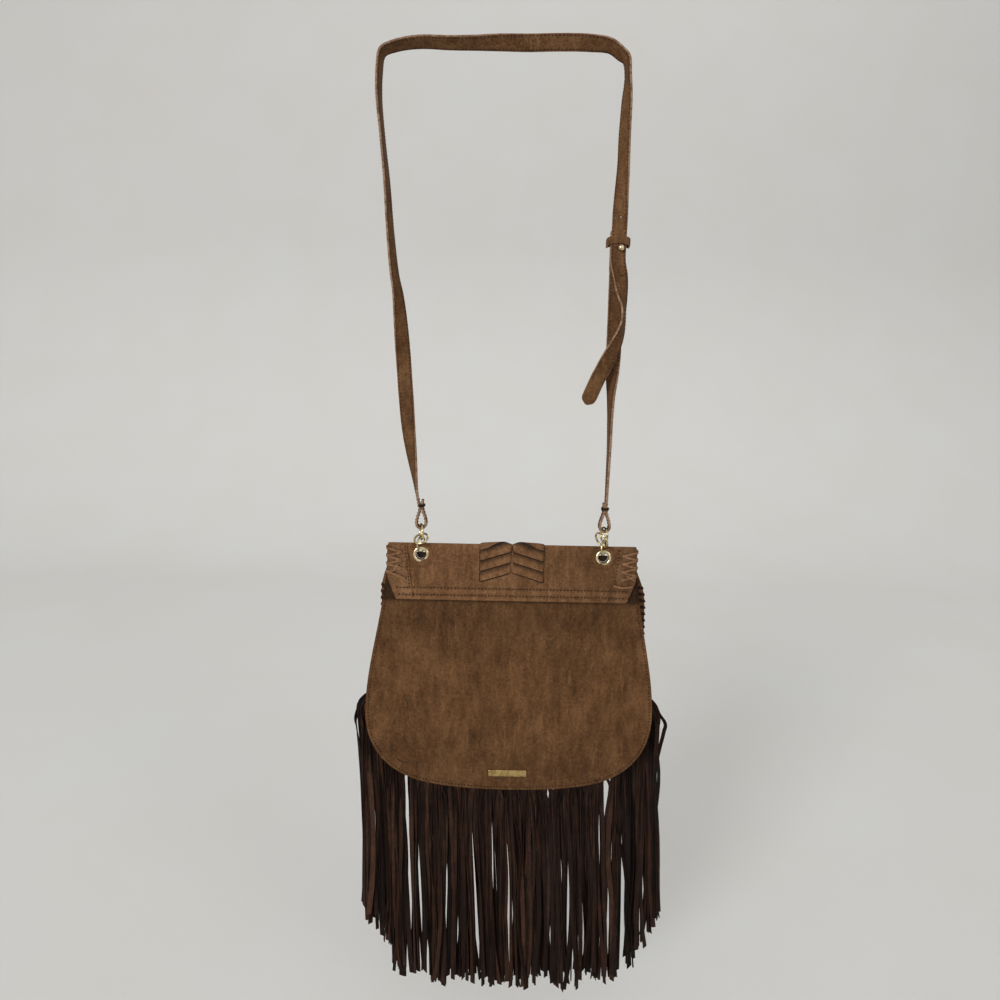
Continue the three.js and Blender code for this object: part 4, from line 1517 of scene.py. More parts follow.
    def build_lace(self, side: Side) -> None:
        """Lacing that crosses each patch and passes round the side edge.

        Args:
            side: Left or right.
        """
        plan = self.plan
        pitch = self.lace_pitch
        near = -(plan.band_outer + plan.clearance + self.patch + 1.1)
        edge = plan.ridge_half + 0.7
        shape = Shape()
        for i in range(self.lace_teeth):
            drop = self.lace_top + i * pitch
            hold = plan.band_outer + 0.8 if drop + 4 < plan.hinge_drop else plan.panel_face + 0.5
            for low in (1, -1):
                foot = drop + 0.5 * pitch * low
                if foot < 1:
                    continue
                points = [
                    (plan.ridge_half - 15.5, near + 0.9, foot),
                    (plan.ridge_half - 13.5, near - 0.25 * (low + 1), foot - 0.5 * low),
                    (plan.ridge_half - 6, near - 0.35 * (low + 1), drop + 1.6 * low),
                    (plan.ridge_half - 0.5, near + 0.1, drop + 0.5 * low),
                    (edge, near + 2.4, drop),
                    (edge, hold - 1.2, drop),
                    (plan.ridge_half - 0.5, hold, drop - 0.8),
                ]
                line = Curve([(side.value * x, y, plan.ridge_z - d) for x, y, d in points]).line(36)
                flat = line - np.array([side.value * (plan.ridge_half - 3.5), 0, 0])
                beyond = np.clip(flat[:, 0] * side.value, 0, None) * side.value / 2.5
                depth = line[:, 1] + 1
                depth = np.where(np.abs(depth) < 0.4, -0.4, depth)
                out = np.stack([beyond, depth, flat[:, 2] * 0], 1)
                ribbon = Ribbon.laid(line, unit(out), self.lace_width, 1.1)
                shape.bars(ribbon.sections(FLAT_PROFILE), LACE_SLOTS)
        for end in self.LACE_ENDS[side]:
            line = Curve([(x, near - rise, plan.ridge_z - d) for x, rise, d in end]).line(16)
            ribbon = Ribbon.laid(line, BACKWARDS, 2.6, 1.0)
            shape.bars(ribbon.sections(FLAT_PROFILE), LACE_SLOTS)
        lace = shape.build(f"lacing_{side.word}", [self.finishes.lace, self.finishes.dark_edge])
        place(lace, Body.BAG, Slot.BAND, [f"whip_lace_{side.word}"])

    def build_strips(self, side: Side) -> None:
        """One column of slanting strips, each tucked under the one above and into a slit at both ends, with
        a painted shadow under each lower edge.

        Args:
            side: Left or right.
        """
        plan = self.plan
        across = np.linspace(0, 1, 25)
        up = np.linspace(0, 1, 15)
        finishes = [self.finishes.patch, self.finishes.dark_edge]
        shadows = Shape()
        for row in range(self.strip_rows):
            shape = Shape()
            low_outer = self.first_drop + row * self.strip_pitch
            x = np.broadcast_to(0.35 + (self.strip_half - 0.35) * across, (len(up), len(across)))
            low = low_outer - self.strip_rise * (1 - across)
            run = low[None] - self.strip_height * up[:, None]
            lowest = -plan.band_outer * 2.2
            run = np.maximum(run, lowest + 0.05 * up[:, None])
            tuck = ease(across / 0.06) * ease((1 - across) / 0.06)
            lean = self.strip_lift + self.strip_lean * ease(1 - up / 0.75)
            lift = np.maximum(tuck[None] * (lean[:, None] + 0.3 * np.sin(up * math.pi)[:, None]), 0.12)
            crease = 0.16 * np.sin(across * 9 + row)[None] * tuck[None]
            outer = plan.over_ridge(side.value * x, run, lift + crease + 0.35)
            inner = plan.over_ridge(side.value * x, run, np.maximum(lift + crease - 0.55, 0.05))
            # Painted shade: each strip darker towards its tucked top and ends, lighter near its lower edge.
            shade = (1.12 - 0.7 * ease((up - 0.35) / 0.55))[:, None] * (0.65 + 0.35 * tuck)[None]
            shape.sheet(outer, inner, shade)
            strip = shape.build(f"woven_strip_{side.word}_{row + 1}", finishes)
            place(strip, Body.BAG, Slot.BAND, [f"chevron_{side.word}_{row + 1}"])
            # Painted shadow: a thin dark sheet on the strip below, under each lower edge.
            width = np.broadcast_to(x[0], (2, len(across)))
            fall = np.stack([low + 0.1, low + 0.1 + 1.5 * tuck])
            hang = np.stack([np.maximum(2.0 * tuck, 0.2), np.full_like(tuck, 0.95)])
            if low.max() > 8:
                hang[:, fall[0] < 0.5] = 0.3
            grids = [plan.over_ridge(side.value * width, fall, hang - gap) for gap in (0.0, 0.25)]
            shadows.sheet(*grids, edges=0)
        shadow_sheets = shadows.build(f"strip_undersides_{side.word}", [self.finishes.thread])
        place(shadow_sheets, Body.BAG, Slot.BAND)

    def build_slits(self) -> None:
        """Dark lines along the cuts that the strips go into: painted shade in the slits."""
        plan = self.plan
        shape = Shape()
        for x in (-self.strip_half, 0.0, self.strip_half):
            for row in range(self.strip_rows):
                low = self.first_drop + row * self.strip_pitch - (self.strip_rise if x == 0 else 0)
                drops = np.linspace(max(low - self.strip_height + 1.2, 1.5), low + 0.7, 6)
                if low < 3:
                    continue
                line = plan.over_ridge(np.full(6, x), drops, 0.08)
                ribbon = Ribbon.laid(line, BACKWARDS, 1.3, 0.5)
                shape.bars(ribbon.sections(FLAT_PROFILE))
        place(shape.build("strip_slits", [self.finishes.thread]), Body.BAG, Slot.BAND)

    def build_eyelet(self, side: Side) -> None:
        """One eyelet with a rolled flange, its washer in front, and a dark half-disc behind its hole as
        painted shade.

        Args:
            side: Left or right.
        """
        plan = self.plan
        hole, barrel = plan.eyelet_hole, plan.eyelet_hole + plan.eyelet_wall
        flange = barrel + plan.eyelet_flange
        face = plan.band_outer + 0.25
        washer = face + 0.8
        start = hole + self.lip_round
        roll = []
        for s in np.linspace(0, 0.97, 13):
            swell = math.sin(math.pi * min(1, 0.06 + 0.9 * s)) ** 0.6
            roll.append((start + (flange - hole - self.lip_round) * s, -face + 0.2 - self.lip_rise * swell))
        far = [(hole + self.far_lip, washer), (hole, washer - 0.9), (hole, -face + 0.55)]
        profile = [*far, *roll, (flange, -face), (barrel, -face), (barrel, washer)]
        centre = (side.value * plan.eyelet_x, plan.eyelet_z)
        eyelet = Shape().turned(profile, centre, 56).build(f"eyelet_rim_{side.word}", [self.finishes.brass])
        place(eyelet, Body.BAG, Slot.BRASS, [f"eyelet_{side.word}"])
        bore = barrel + 0.2
        rim = [(flange, face), (flange, face + 0.5), (flange - 0.5, washer)]
        ring = [(bore, face), *rim, (bore, washer)]
        back = Shape().turned(ring, centre, 56).build(f"eyelet_back_{side.word}", [self.finishes.brass])
        place(back, Body.BAG, Slot.BRASS, [f"eyelet_washer_{side.word}"])
        # Painted shade: a dark half-disc behind the hole, so that it shows dark.
        arc = np.linspace(math.radians(166), math.radians(374), 26)
        reach = hole - 0.1
        shade_disc = [
            [(centre[0] + reach * math.cos(a), y, centre[1] + reach * math.sin(a)) for a in arc]
            for y in (washer - 0.7, washer - 0.2)
        ]
        hole_shade = Shape().bars(np.array(shade_disc)).build(f"eyelet_lining_{side.word}", [self.finishes.thread])
        place(hole_shade, Body.BAG, Slot.BAND)

    def build(self) -> None:
        """Everything on the band."""
        self.build_band()
        for side in Side:
            self.build_patch(side)
            self.build_lace(side)
            self.build_strips(side)
            self.build_eyelet(side)
        self.build_slits()


@dataclass
class Flap:
    """The front flap, whip-laced round its edge."""

    plan: Plan
    finishes: Finishes
    lace_width: float = 3.2
    lace_pitch: float = 8.0
    lace_reach: float = 6.5
    seam_inset: float = 11

    def edge(self, inset: float) -> np.ndarray:
        """The flap's edge from its left top, round the foot, to its right top, as (x, drop).

        Args:
            inset: How far inside the cut edge it runs.

        Returns:
            The points.
        """
        plan = self.plan
        start = plan.hinge_drop + 12
        drops = start + (plan.flap_drop - start) * np.sin(np.linspace(0, math.pi / 2, 120))
        right = np.stack([plan.flap_half(drops), drops], 1)
        along = unit(np.gradient(right, axis=0))
        moved = right - np.stack([along[:, 1], -along[:, 0]], 1) * inset
        moved[:, 0] = np.maximum(moved[:, 0], 0)
        whole = np.vstack([moved[:-1] * (-1, 1), moved[::-1]])
        whole[:, 0] += plan.flap_aside(whole[:, 1])
        return whole

    def build(self) -> None:
        """The leather, its lacing and its inner row of stitches."""
        plan = self.plan
        maker = Bag(plan, self.finishes)
        shape = maker.panel(
            maker.rows(plan.hinge_drop + plan.hinge_gap, plan.flap_drop, 56),
            plan.flap_half,
            lambda x, d: plan.flap_inner(d),
            lambda x, d: plan.flap_inner(d) + plan.band,
            plan.flap_aside,
        )
        leather = shape.build("flap_leather", [self.finishes.band, self.finishes.dark_edge])
        place(leather, Body.FLAP, Slot.BAND, ["flap_front"])
        place(self.lacing(), Body.FLAP, Slot.BAND)
        run = spaced(self.edge(self.seam_inset), plan.stitch_pitch)
        line = np.stack([run[:, 0], plan.flap_inner(run[:, 1]) + plan.band, plan.ridge_z - run[:, 1]], 1)
        seam = Shape().stitches(line, -BACKWARDS).build("flap_seam", [self.finishes.thread])
        place(seam, Body.FLAP, Slot.BAND)

    def lacing(self) -> bpy.types.Object:
        """Slanting turns of lace over the cut edge.

        Returns:
            The lacing as one object.
        """
        plan = self.plan
        outer = spaced(self.edge(0), self.lace_pitch)
        inner = spaced(self.edge(self.lace_reach), self.lace_pitch)
        inner = picked(inner, len(outer))
        shape = Shape()
        bars = []
        for i in range(1, len(outer) - 2):
            hole, rim, after = inner[i], outer[i] * 0.45 + outer[i + 1] * 0.55, inner[i + 1]
            out = unit(rim - (hole + after) / 2)
            y = float(plan.flap_inner(rim[1])) + plan.band / 2
            reach = plan.band / 2 + 0.55
            ring = [
                (hole, reach - 0.5),
                (hole * 0.75 + rim * 0.25, reach + 0.1),
                (hole * 0.2 + rim * 0.8, reach + 0.05),
                (rim + out * 0.5, 0.45),
                (rim + out * 0.5, -0.45),
                (after * 0.2 + rim * 0.8, -reach),
                (after * 0.75 + rim * 0.25, -reach),
                (after, 0.5 - reach),
            ]
            line = Curve([(p[0], y + lift, plan.ridge_z - p[1]) for p, lift in ring]).line(21)
            flat = np.array([out[0], 0, -out[1]])
            centre = np.array([rim[0], y, plan.ridge_z - rim[1]]) - flat * 1.6
            away = line - centre
            away = flat * np.maximum(away @ flat, 0)[:, None] + np.array([0, 1.0, 0]) * away[:, 1:2]
            ribbon = Ribbon.laid(line, unit(away), self.lace_width, 0.7)
            bars.append(ribbon.sections(FLAT_PROFILE))
        shape.bars(np.array(bars), LACE_SLOTS)
        return shape.build("flap_lacing", [self.finishes.flap_lace, self.finishes.dark_edge])


@dataclass
class Straps:
    """The long strap, the short strap, their keeper and the stud that joins them."""

    plan: Plan
    finishes: Finishes
    width: float = 15.5
    end_width: float = 8.6
    thickness: float = 2.4
    fold_x: float = 98.8
    stud_x: float = 101.0
    stud_drop: float = 183.0
    stud_hole: float = 1.7
    stud_radius: float = 3.2
    stitch_inset: float = 1.9
    loop_part: float = 1.35
    keeper_drop: float = 175.0
    keeper_half_x: float = 11.1
    keeper_half_y: float = 5.0
    keeper_corner: float = 2.4
    keeper_height: float = 7.4
    keeper_wall: float = 1.5

    HOLES = ((100.2, 152, 0.8), (103.5, 209, 0.8), (95.6, 268, 0.7))

    LOOP = ((4.3, 6.5), (5.1, 0.8), (3.6, -2.8), (0, -4.3), (-3.6, -2.8), (-5.1, 0.8), (-4.3, 6.5))
    LEFT = (
        (-99.5, 0.95), (-101.7, 0.925), (-104.2, 0.885), (-109.8, 0.793), (-113.1, 0.708),
        (-116.4, 0.612), (-121.3, 0.496), (-124.8, 0.454), (-129.3, 0.359), (-132.4, 0.265),
        (-136.6, 0.175), (-139.9, 0.098), (-139.6, 0.045),
    )
    TOP = (
        (-136.5, 4), (-125.3, 9.4), (-102.1, 13.6), (-71.2, 13.4), (-42.2, 14), (-23, 14.6), (5.9, 14.8),
        (34.8, 15.8), (63.8, 15.8), (84.1, 13.4), (94.5, 6.5),
    )
    RIGHT = ((1.2, 0.013), (3.2, 0.045), (3.1, 0.092), (2.3, 0.161), (2.3, 0.221), (1.1, 0.288))
    TAIL = (
        (0.5, -22.2), (0.1, -2.2), (0.4, 12.7), (2.8, 26.7), (4.2, 43), (6.2, 59.3), (6, 74.2), (2, 89.1),
        (-7.4, 109.6), (-16.9, 129.7), (-27.2, 154.9),
    )
    LIFT = (
        (-80.5, 0), (-29.2, -2.7), (17.4, -2.7), (26.7, -5.2), (43, -9.7), (59.3, -12.7), (96.6, -14.7),
        (154.9, -8.7),
    )
    LONG_TURNS = (
        90, 90, 90, 90, 90, 90, 90, 90, 90, 90,
        85, 78, 63, 22, 0, -16, -58, -66, -74, -79, -85, -81, -79,
        -78, -75, -68, -64, -58, -44, -28, -20, -36, -60, -64,
        -75, -82, -60, -52, -50, -34, -4, 0, 0, 8, 35, 72, 70, 45, 15, 0, 0,
    )
    SHORT = ((-1.2, 0.914), (-0.6, 0.824), (-0.8, 0.757), (-0.8, 0.7), (-0.4, 0.643))
    SHORT_UPPER = ((0, 89.1), (0, 50), (0, 12.7))
    SHORT_TURNS = (90, 90, 90, 90, 90, 90, 90, 90, 90, 90, 88, 86, 84, 70, 30, 0, 0, 0)

    def loop(self, x: float, sign: int) -> list[tuple[float, float, float]]:
        """The sewn loop round a ring, from its tail to where the strap leaves it.

        Args:
            x: The middle of the ring.
            sign: The side that the tail lies on, -1 or 1.

        Returns:
            The points.
        """
        top = -self.plan.strap_drop
        offset = sign * self.loop_part
        points = [(x + offset, 0.0, top + 26), (x + offset, 0.0, top + 16)]
        points += [(x + sign * dx, 0.0, top + rise) for dx, rise in self.LOOP]
        return points + [(x - offset, 0.0, top + 16)]

    def long_points(self) -> list[tuple[float, float, float]]:
        """The route of the long strap.

        Returns:
            The points.
        """
        drop = self.plan.strap_drop

        def lifted(x: float, low: float) -> tuple[float, float, float]:
            """A point of the right-hand run, over the short strap."""
            past, y = zip(*self.LIFT)
            return (self.fold_x + x, float(np.interp(low - self.stud_drop, past, y)), -low)

        points = self.loop(-self.plan.eyelet_x, 1)
        points += [(x, 0.0, -share * drop) for x, share in self.LEFT]
        points += [(x, 0.0, z - 8) for x, z in self.TOP]
        points += [lifted(x, share * drop) for x, share in self.RIGHT]
        return points + [lifted(x, self.stud_drop + past) for x, past in self.TAIL]

    def followed(
        self, points: Sequence[Sequence[float]], turns: Sequence[float], steps: int, growth: float
    ) -> Ribbon:
        """A strap along its route, narrow at its start.

        Args:
            points: The route.
            turns: Degrees that its face is turned, at even shares of the route.
            steps: How many parts it is made of.
            growth: The share of the route in which it grows to its full width.

        Returns:
            The strap.
        """
        share = np.linspace(0, 1, steps + 1)
        smooth = softened(np.interp(share, np.linspace(0, 1, len(turns)), turns), 5)
        neck = 10 / (len(turns) - 1)
        widths = np.interp(share, [neck, neck + growth], [self.end_width, self.width])
        return Ribbon.turned(Curve(points).line(steps), smooth, widths, self.thickness)

    def long_ribbon(self) -> Ribbon:
        """The long strap with its turns, narrow end and rounded tip.

        Returns:
            The strap.
        """
        ribbon = self.followed(self.long_points(), self.LONG_TURNS, 480, 0.05)
        run = distances(ribbon.centres)
        tip = np.clip((run[-1] - run) / (self.width * 0.55), 0, 1)
        ribbon.widths = ribbon.widths * np.sqrt(np.clip(1 - (1 - tip) ** 2, 0.03, 1))
        return ribbon

    def short_ribbon(self) -> Ribbon:
        """The short strap, up from its ring and folded back over itself at the top.

        Returns:
            The strap.
        """
        plan = self.plan
        points = self.loop(plan.eyelet_x, -1)
        points += [(self.fold_x + x, 0.0, -share * plan.strap_drop) for x, share in self.SHORT]
        points += [(self.fold_x + x, 0.0, -self.stud_drop - past) for x, past in self.SHORT_UPPER]
        lower = self.followed(points, self.SHORT_TURNS, 200, 0.1)
        line = lower.centres
        top, pitch = -(self.stud_drop - 15), self.thickness + plan.clearance
        rise = [(0.0, z) for z in np.linspace(line[-1, 2], top, 8)[1:]]
        bend = [
            (pitch / 2 * (1 - math.cos(a)), top + pitch / 2 * math.sin(a))
            for a in np.linspace(0, math.pi, 13)[1:]
        ]
        fall = [(pitch, z) for z in np.linspace(top, -(self.stud_drop + 22), 12)[1:]]
        fold = np.array([(self.fold_x, y, z) for y, z in rise + bend + fall])
        centres = np.vstack([line, fold])
        across = np.vstack([lower.across, np.tile([1.0, 0, 0], (len(fold), 1))])
        out = unit(np.cross(unit(np.gradient(centres, axis=0)), across))
        widths = np.concatenate([lower.widths, np.full(len(fold), self.width)])
        return Ribbon(centres, across, out, widths, self.thickness)

    def seams(self, name: str, ribbon: Ribbon, start: int, end: int) -> bpy.types.Object:
        """Rows of stitches inside both edges, on both faces.

        Args:
            name: The object's name.
            ribbon: The strap.
            start: The first point that is sewn.
            end: The last point that is sewn.

        Returns:
            The stitches as one object.
        """
        shape = Shape()
        for sign in (-1, 1):
            for face in (-1, 1):
                inset = np.maximum(ribbon.widths / 2 - self.stitch_inset, 0.5)
                line = ribbon.offset(sign * inset, face * self.thickness / 2)[start:end]
                both = np.hstack([line, ribbon.out[start:end] * face])
                even = spaced(both, self.plan.stitch_pitch)
                shape.stitches(even[:, :3], even[:, 3:], 0.46)
        return shape.build(name, [self.finishes.thread])

    def build_long(self) -> None:
        """The long strap, its free holes and its stitches."""
        ribbon = self.long_ribbon()
        shape = Shape().bars(ribbon.sections(STRAP_PROFILE), STRAP_SLOTS)
        strap = shape.build("long_strap", [self.finishes.strap, self.finishes.edge])
        tools = []
        for x, drop, radius in (*self.HOLES, (self.stud_x, self.stud_drop, self.stud_hole)):
            gaps = np.linalg.norm(ribbon.centres[:, (0, 2)] - (x, -drop), axis=1)
            gaps[: len(gaps) // 2] = 1e6
            i = int(np.argmin(gaps))
            middle = ribbon.centres[i].copy()
            if abs(x - middle[0]) < 4:
                slope = ribbon.across[i][0]
                middle += ribbon.across[i] * (x - middle[0]) / max(0.3, abs(slope)) * np.sign(slope)
            reach = ribbon.out[i] * 5
            # The hole's wall takes the dark thread finish as painted shade in the hole.
            tools.append(rod(middle - reach, middle + reach, radius, self.finishes.thread))
        pierce(strap, tools)
        place(strap, Body.STRAP, Slot.STRAP, ["strap_long"])
        place(self.seams("long_strap_seams", ribbon, 8, 472), Body.STRAP, Slot.STRAP)

    def build_short(self) -> None:
        """The short strap, its hole for the stud and its stitches."""
        ribbon = self.short_ribbon()
        shape = Shape().bars(ribbon.sections(STRAP_PROFILE), STRAP_SLOTS)
        strap = shape.build("short_strap", [self.finishes.strap, self.finishes.edge])
        seat = (self.stud_x, 0, -self.stud_drop)
        reach = np.array([0, 5, 0])
        # The hole's wall takes the dark thread finish as painted shade in the hole.
        pierce(strap, [rod(seat - reach, seat + reach, self.stud_hole, self.finishes.thread)])
        place(strap, Body.STRAP, Slot.STRAP, ["strap_short"])
        place(self.seams("short_strap_seams", ribbon, 8, len(ribbon.centres) - 2), Body.STRAP, Slot.STRAP)

    def build_keeper(self) -> None:
        """The loop round both straps, whose sides sag below its front."""
        half_x, half_y = self.keeper_half_x, self.keeper_half_y
        path = rounded(half_x, half_y, self.keeper_corner, 8)
        flat = spaced(np.array(path + path[:1]), 1.4)[:-1]
        sag = 2.2 * (np.abs(flat[:, 0]) / half_x) ** 4 + 1.0 * (flat[:, 1] > 0)
        bowed = 0.5 * (1 - (flat[:, 0] / half_x) ** 2)
        crown = bowed * np.sign(flat[:, 1]) * (np.abs(flat[:, 1]) > half_y - 0.1)
        centres = np.stack([self.fold_x + flat[:, 0], flat[:, 1] + crown, -self.keeper_drop - sag], 1)
        along = unit(np.roll(centres, -1, 0) - np.roll(centres, 1, 0))
        up = np.tile([0.0, 0.0, 1.0], (len(centres), 1))
        out = unit(np.cross(up, along))
        heights = np.full(len(centres), self.keeper_height)
        ribbon = Ribbon(centres, up, out, heights, self.keeper_wall)
        keeper = Shape().bars(ribbon.sections(STRAP_PROFILE), STRAP_SLOTS, ring=True)
        obj = keeper.build("strap_keeper", [self.finishes.strap, self.finishes.edge])
        place(obj, Body.STRAP, Slot.STRAP, ["keeper"])

    def build_stud(self) -> None:
        """The ball stud on its neck and foot."""
        seat, radius = 4.2, self.stud_radius
        centre = seat + radius - 0.3
        ball = [(radius * math.sin(a), -centre - radius * math.cos(a)) for a in np.linspace(0.02, 2.65, 22)]
        foot = [(3.9, seat), (4, seat + 0.4), (3.6, seat + 1), (0.02, seat + 1)]
        profile = [*ball, (1.4, -seat), (1.4, seat), *foot]
        stud = Shape().turned(profile, (self.stud_x, -self.stud_drop), 44)
        place(stud.build("ball_stud", [self.finishes.brass]), Body.STRAP, Slot.BRASS, ["stud"])

    def build_ties(self) -> None:
        """A few turns of thread that tie each loop's tail to the strap."""
        shape = Shape()
        for side in Side:
            x, z = side.value * self.plan.eyelet_x, -self.plan.strap_drop + 20
            for step in (-1.1, 0, 1.1):
                axis = unit(np.array([0.12 * step, 0.06, 1.0]))
                turn = torus((0, 0, 0), axis, 1.0, 0.38) * np.array([3.1, 4.75, 1])
                shape.bars(turn + np.array([x, 0, z + step]), ring=True)
        place(shape.build("loop_ties", [self.finishes.thread]), Body.STRAP, Slot.STRAP)

    def build(self) -> None:
        """Both straps and what joins them."""
        self.build_long()
        self.build_short()
        self.build_keeper()
        self.build_stud()
        self.build_ties()


def softened(values: np.ndarray, reach: int) -> np.ndarray:
    """A row of values with its corners rounded off.

    Args:
        values: The row.
        reach: How many neighbours on each side take part.

    Returns:
        The softened row.
    """
    padded = np.pad(values, reach, mode="edge")
    weights = np.hanning(2 * reach + 3)[1:-1]
    return np.convolve(padded, weights / weights.sum(), mode="valid")


@dataclass
class Rings:
    """The linked rings between strap and eyelets, and the loose ones on each link."""

    plan: Plan
    finishes: Finishes

    def wire_ring(
        self, name: str, body: Body, centre: Sequence[float], axis: np.ndarray, outer: float
    ) -> None:
        """One ring.

        Args:
            name: The CAD node that it stands for.
            body: The body that it moves with.
            centre: Its middle.
            axis: The way that its hole looks.
            outer: From its middle to the middle of the wire.
        """
        ring = Shape().bars(torus(centre, axis, outer, self.plan.ring_wire), ring=True)
        obj = ring.build(name.replace("ring_", "link_"), [self.finishes.ring_brass])
        place(obj, body, Slot.BRASS, [name])

    def build(self) -> None:
        """All six rings."""
        plan = self.plan
        loose = {
            Side.LEFT: (plan.small_ring_radius, (0, 0, 1), (27, -23, 11), (0.49, -5.81, 7.21)),
            Side.RIGHT: (plan.ring_radius, (1, 0, 0), (-11, -25, 33), (-3.49, -7.76, 9.94)),
        }
        for side in Side:
            x = side.value * plan.eyelet_x
            linked = Body.RING_LEFT if side is Side.LEFT else Body.RING_RIGHT
            for word, body, z, yaw in (
                ("upper", Body.STRAP, plan.upper_ring_z, plan.upper_ring_yaw),
                ("lower", linked, plan.lower_ring_z, plan.lower_ring_yaw),
            ):
                a = math.radians(yaw)
                axis = np.array([math.cos(a), math.sin(a), 0])
                self.wire_ring(f"ring_{word}_{side.word}", body, (x, 0, z), axis, plan.ring_radius)
            radius, start, turn, offset = loose[side]
            spin = Matrix.Identity(3)
            for angle, about in zip(turn, "XYZ"):
                spin = Matrix.Rotation(math.radians(angle), 3, about) @ spin
            axis = np.array(spin @ Vector(start))
            centre = (x + offset[0], offset[1], plan.lower_ring_z + offset[2])
            self.wire_ring(f"ring_loose_{side.word}", linked, centre, axis, radius)


@dataclass(frozen=True)
class Clump:
    """A few strips that cling together as they hang."""

    middle: float
    drift: float
    front: float
    sway: float
    phase: float
    longer: float


@dataclass
class Fringe:
    """Cut strips that hang from a header in the seam of the front panel."""

    plan: Plan
    finishes: Finishes
    lean: float = 0.035
    centre_half: float = 118
    centre_count: int = 66
    side_top: float = 178
    side_count: int = 21
    side_reach: float = 171.7
    side_span: float = 49
    side_foot: float = 432
    foot: float = 544
    layers: int = 3
    seed: int = 11

    CLUMP_SPANS = ((-4, 4), (-5, 2), (0.4, 2.6), (0, 6.3), (-9, 9))
    LAYER_PULL = (1.0, 0.7, 0.15)
    # Painted shade for the back layers, and random tints spread wide to stand in for lit and shaded strips.
    LAYER_PAINTED_SHADE = (1.0, 0.85, 0.65)
    TINTS_AND_PAINTED_LIGHT = ((0.25, 0.5), (0.7, 1.1), (1.3, 2.2))
    TINT_WEIGHTS = (3, 5, 4)

    def __post_init__(self) -> None:
        """Starts the random numbers from the seed."""
        self.chance = random.Random(self.seed)

    def drop_at(self, x: float) -> float:
        """Drop of the body's lower edge at a place across it."""
        edge = self.plan.edge(self.plan.wide_drop, 0)[::-1]
        return float(np.interp(abs(x), edge[:, 0], edge[:, 1]))

    def clumps(self, start: float, end: float) -> list[Clump]:
        """Clumps of uneven width from one x to another.

        Args:
            start: The x of the first.
            end: The x that they reach.

        Returns:
            The clumps.
        """
        pick = self.chance
        made = []
        x = start
        while x < end:
            width = pick.uniform(5, 15)
            middle = min(x + width / 2, end - 2)
            made.append(Clump(middle, *(pick.uniform(*span) for span in self.CLUMP_SPANS)))
            x += width
        return made

    def strip(
        self, root: Sequence[float], hang_x: float, end_drop: float, layer: int, clump: Clump
    ) -> tuple[np.ndarray, float]:
        """One strip.

        Args:
            root: The x and drop where it leaves the seam.
            hang_x: The x that it hangs at.
            end_drop: The drop of its cut end.
            layer: Which layer it belongs to.
            clump: The strips that it clings to.

        Returns:
            Its rings of points and its tint: a random tone spread wide to stand in for painted light and
                shade, darker as painted shade in the back layers.
        """
        pick, plan = self.chance, self.plan
        root_x, root_drop = root
        y = float(plan.header_inner(root_drop)) + 0.5 + 0.3 * layer
        away = hang_x - root_x
        tuck = -math.copysign(min(3, abs(away)), away) if away else 0
        fall = end_drop + clump.longer + pick.uniform(-9, 9) - root_drop
        z = plan.ridge_z - root_drop
        pull = (clump.middle - hang_x) * pick.uniform(0, 0.42) * self.LAYER_PULL[layer]
        drift = clump.drift + pick.uniform(-2.5, 2.5) + pull
        front = clump.front + pick.uniform(-5, 4) - 1.5 * layer
        steps = 40
        curve = Curve([
            (root_x + tuck, y, z + 1.5),
            (root_x + away * 0.35, y, z - 2),
            (root_x + away * 0.85, y, z - 12),
            (hang_x, y, z - 34),
            (hang_x + self.lean * fall * 0.5 + drift * 0.6, y + front * 0.6, z - fall * 0.5),
            (hang_x + self.lean * fall + drift, y + front, z - fall),
        ])
        line = curve.line(steps)
        share = np.linspace(0, 1, steps + 1)
        grown = ease((share - 0.22) / 0.6)
        own, waves = pick.uniform(0.3, 1.9), pick.uniform(9, 26)
        aside = 1.2 * clump.sway * np.sin(share * 8 + clump.phase)
        forward = 0.7 * clump.sway * np.cos(share * 7 + clump.phase)
        line[:, 0] += grown * (aside + own * np.sin(share * waves))
        line[:, 1] += grown * (forward + own * np.cos(share * waves + 1))
        if pick.random() < 0.22:
            bow = pick.choice((-1, 1)) * pick.uniform(2.5, 8)
            line[:, 0] += bow * hump(share, pick.uniform(0.35, 0.8), 0.09)
        if pick.random() < 0.4:
            line[:, 0] += pick.uniform(-9, 9) * np.clip((share - 0.84) / 0.16, 0, 1) ** 2
        base = pick.uniform(-48, 48)
        loose = pick.random()
        twist = pick.uniform(-50, 50) if loose < 0.6 else pick.choice((-1, 1)) * pick.uniform(90, 320)
        ripple = pick.uniform(0, 26) * np.sin(share * pick.uniform(8, 20) + clump.phase)
        turns = base * ease(share / 0.3) + twist * ease((share - 0.25) / 0.75) + ripple * grown
        width = pick.uniform(3.5, 6.2)
        ribbon = Ribbon.turned(line, turns, np.full(steps + 1, width), 1.0)
        rings = ribbon.sections(STRIP_PROFILE)
        slant = pick.uniform(-2.2, 2.2)
        rings[-1, :, 2] += slant * np.array([-1, 1, 1, -1])
        # A random tint spread wide as painted light and shade on lit and shaded strips, darker as painted
        # shade in the back layers.
        tint = pick.choices([pick.uniform(*span) for span in self.TINTS_AND_PAINTED_LIGHT], self.TINT_WEIGHTS)[0]
        return rings, tint * self.LAYER_PAINTED_SHADE[layer]

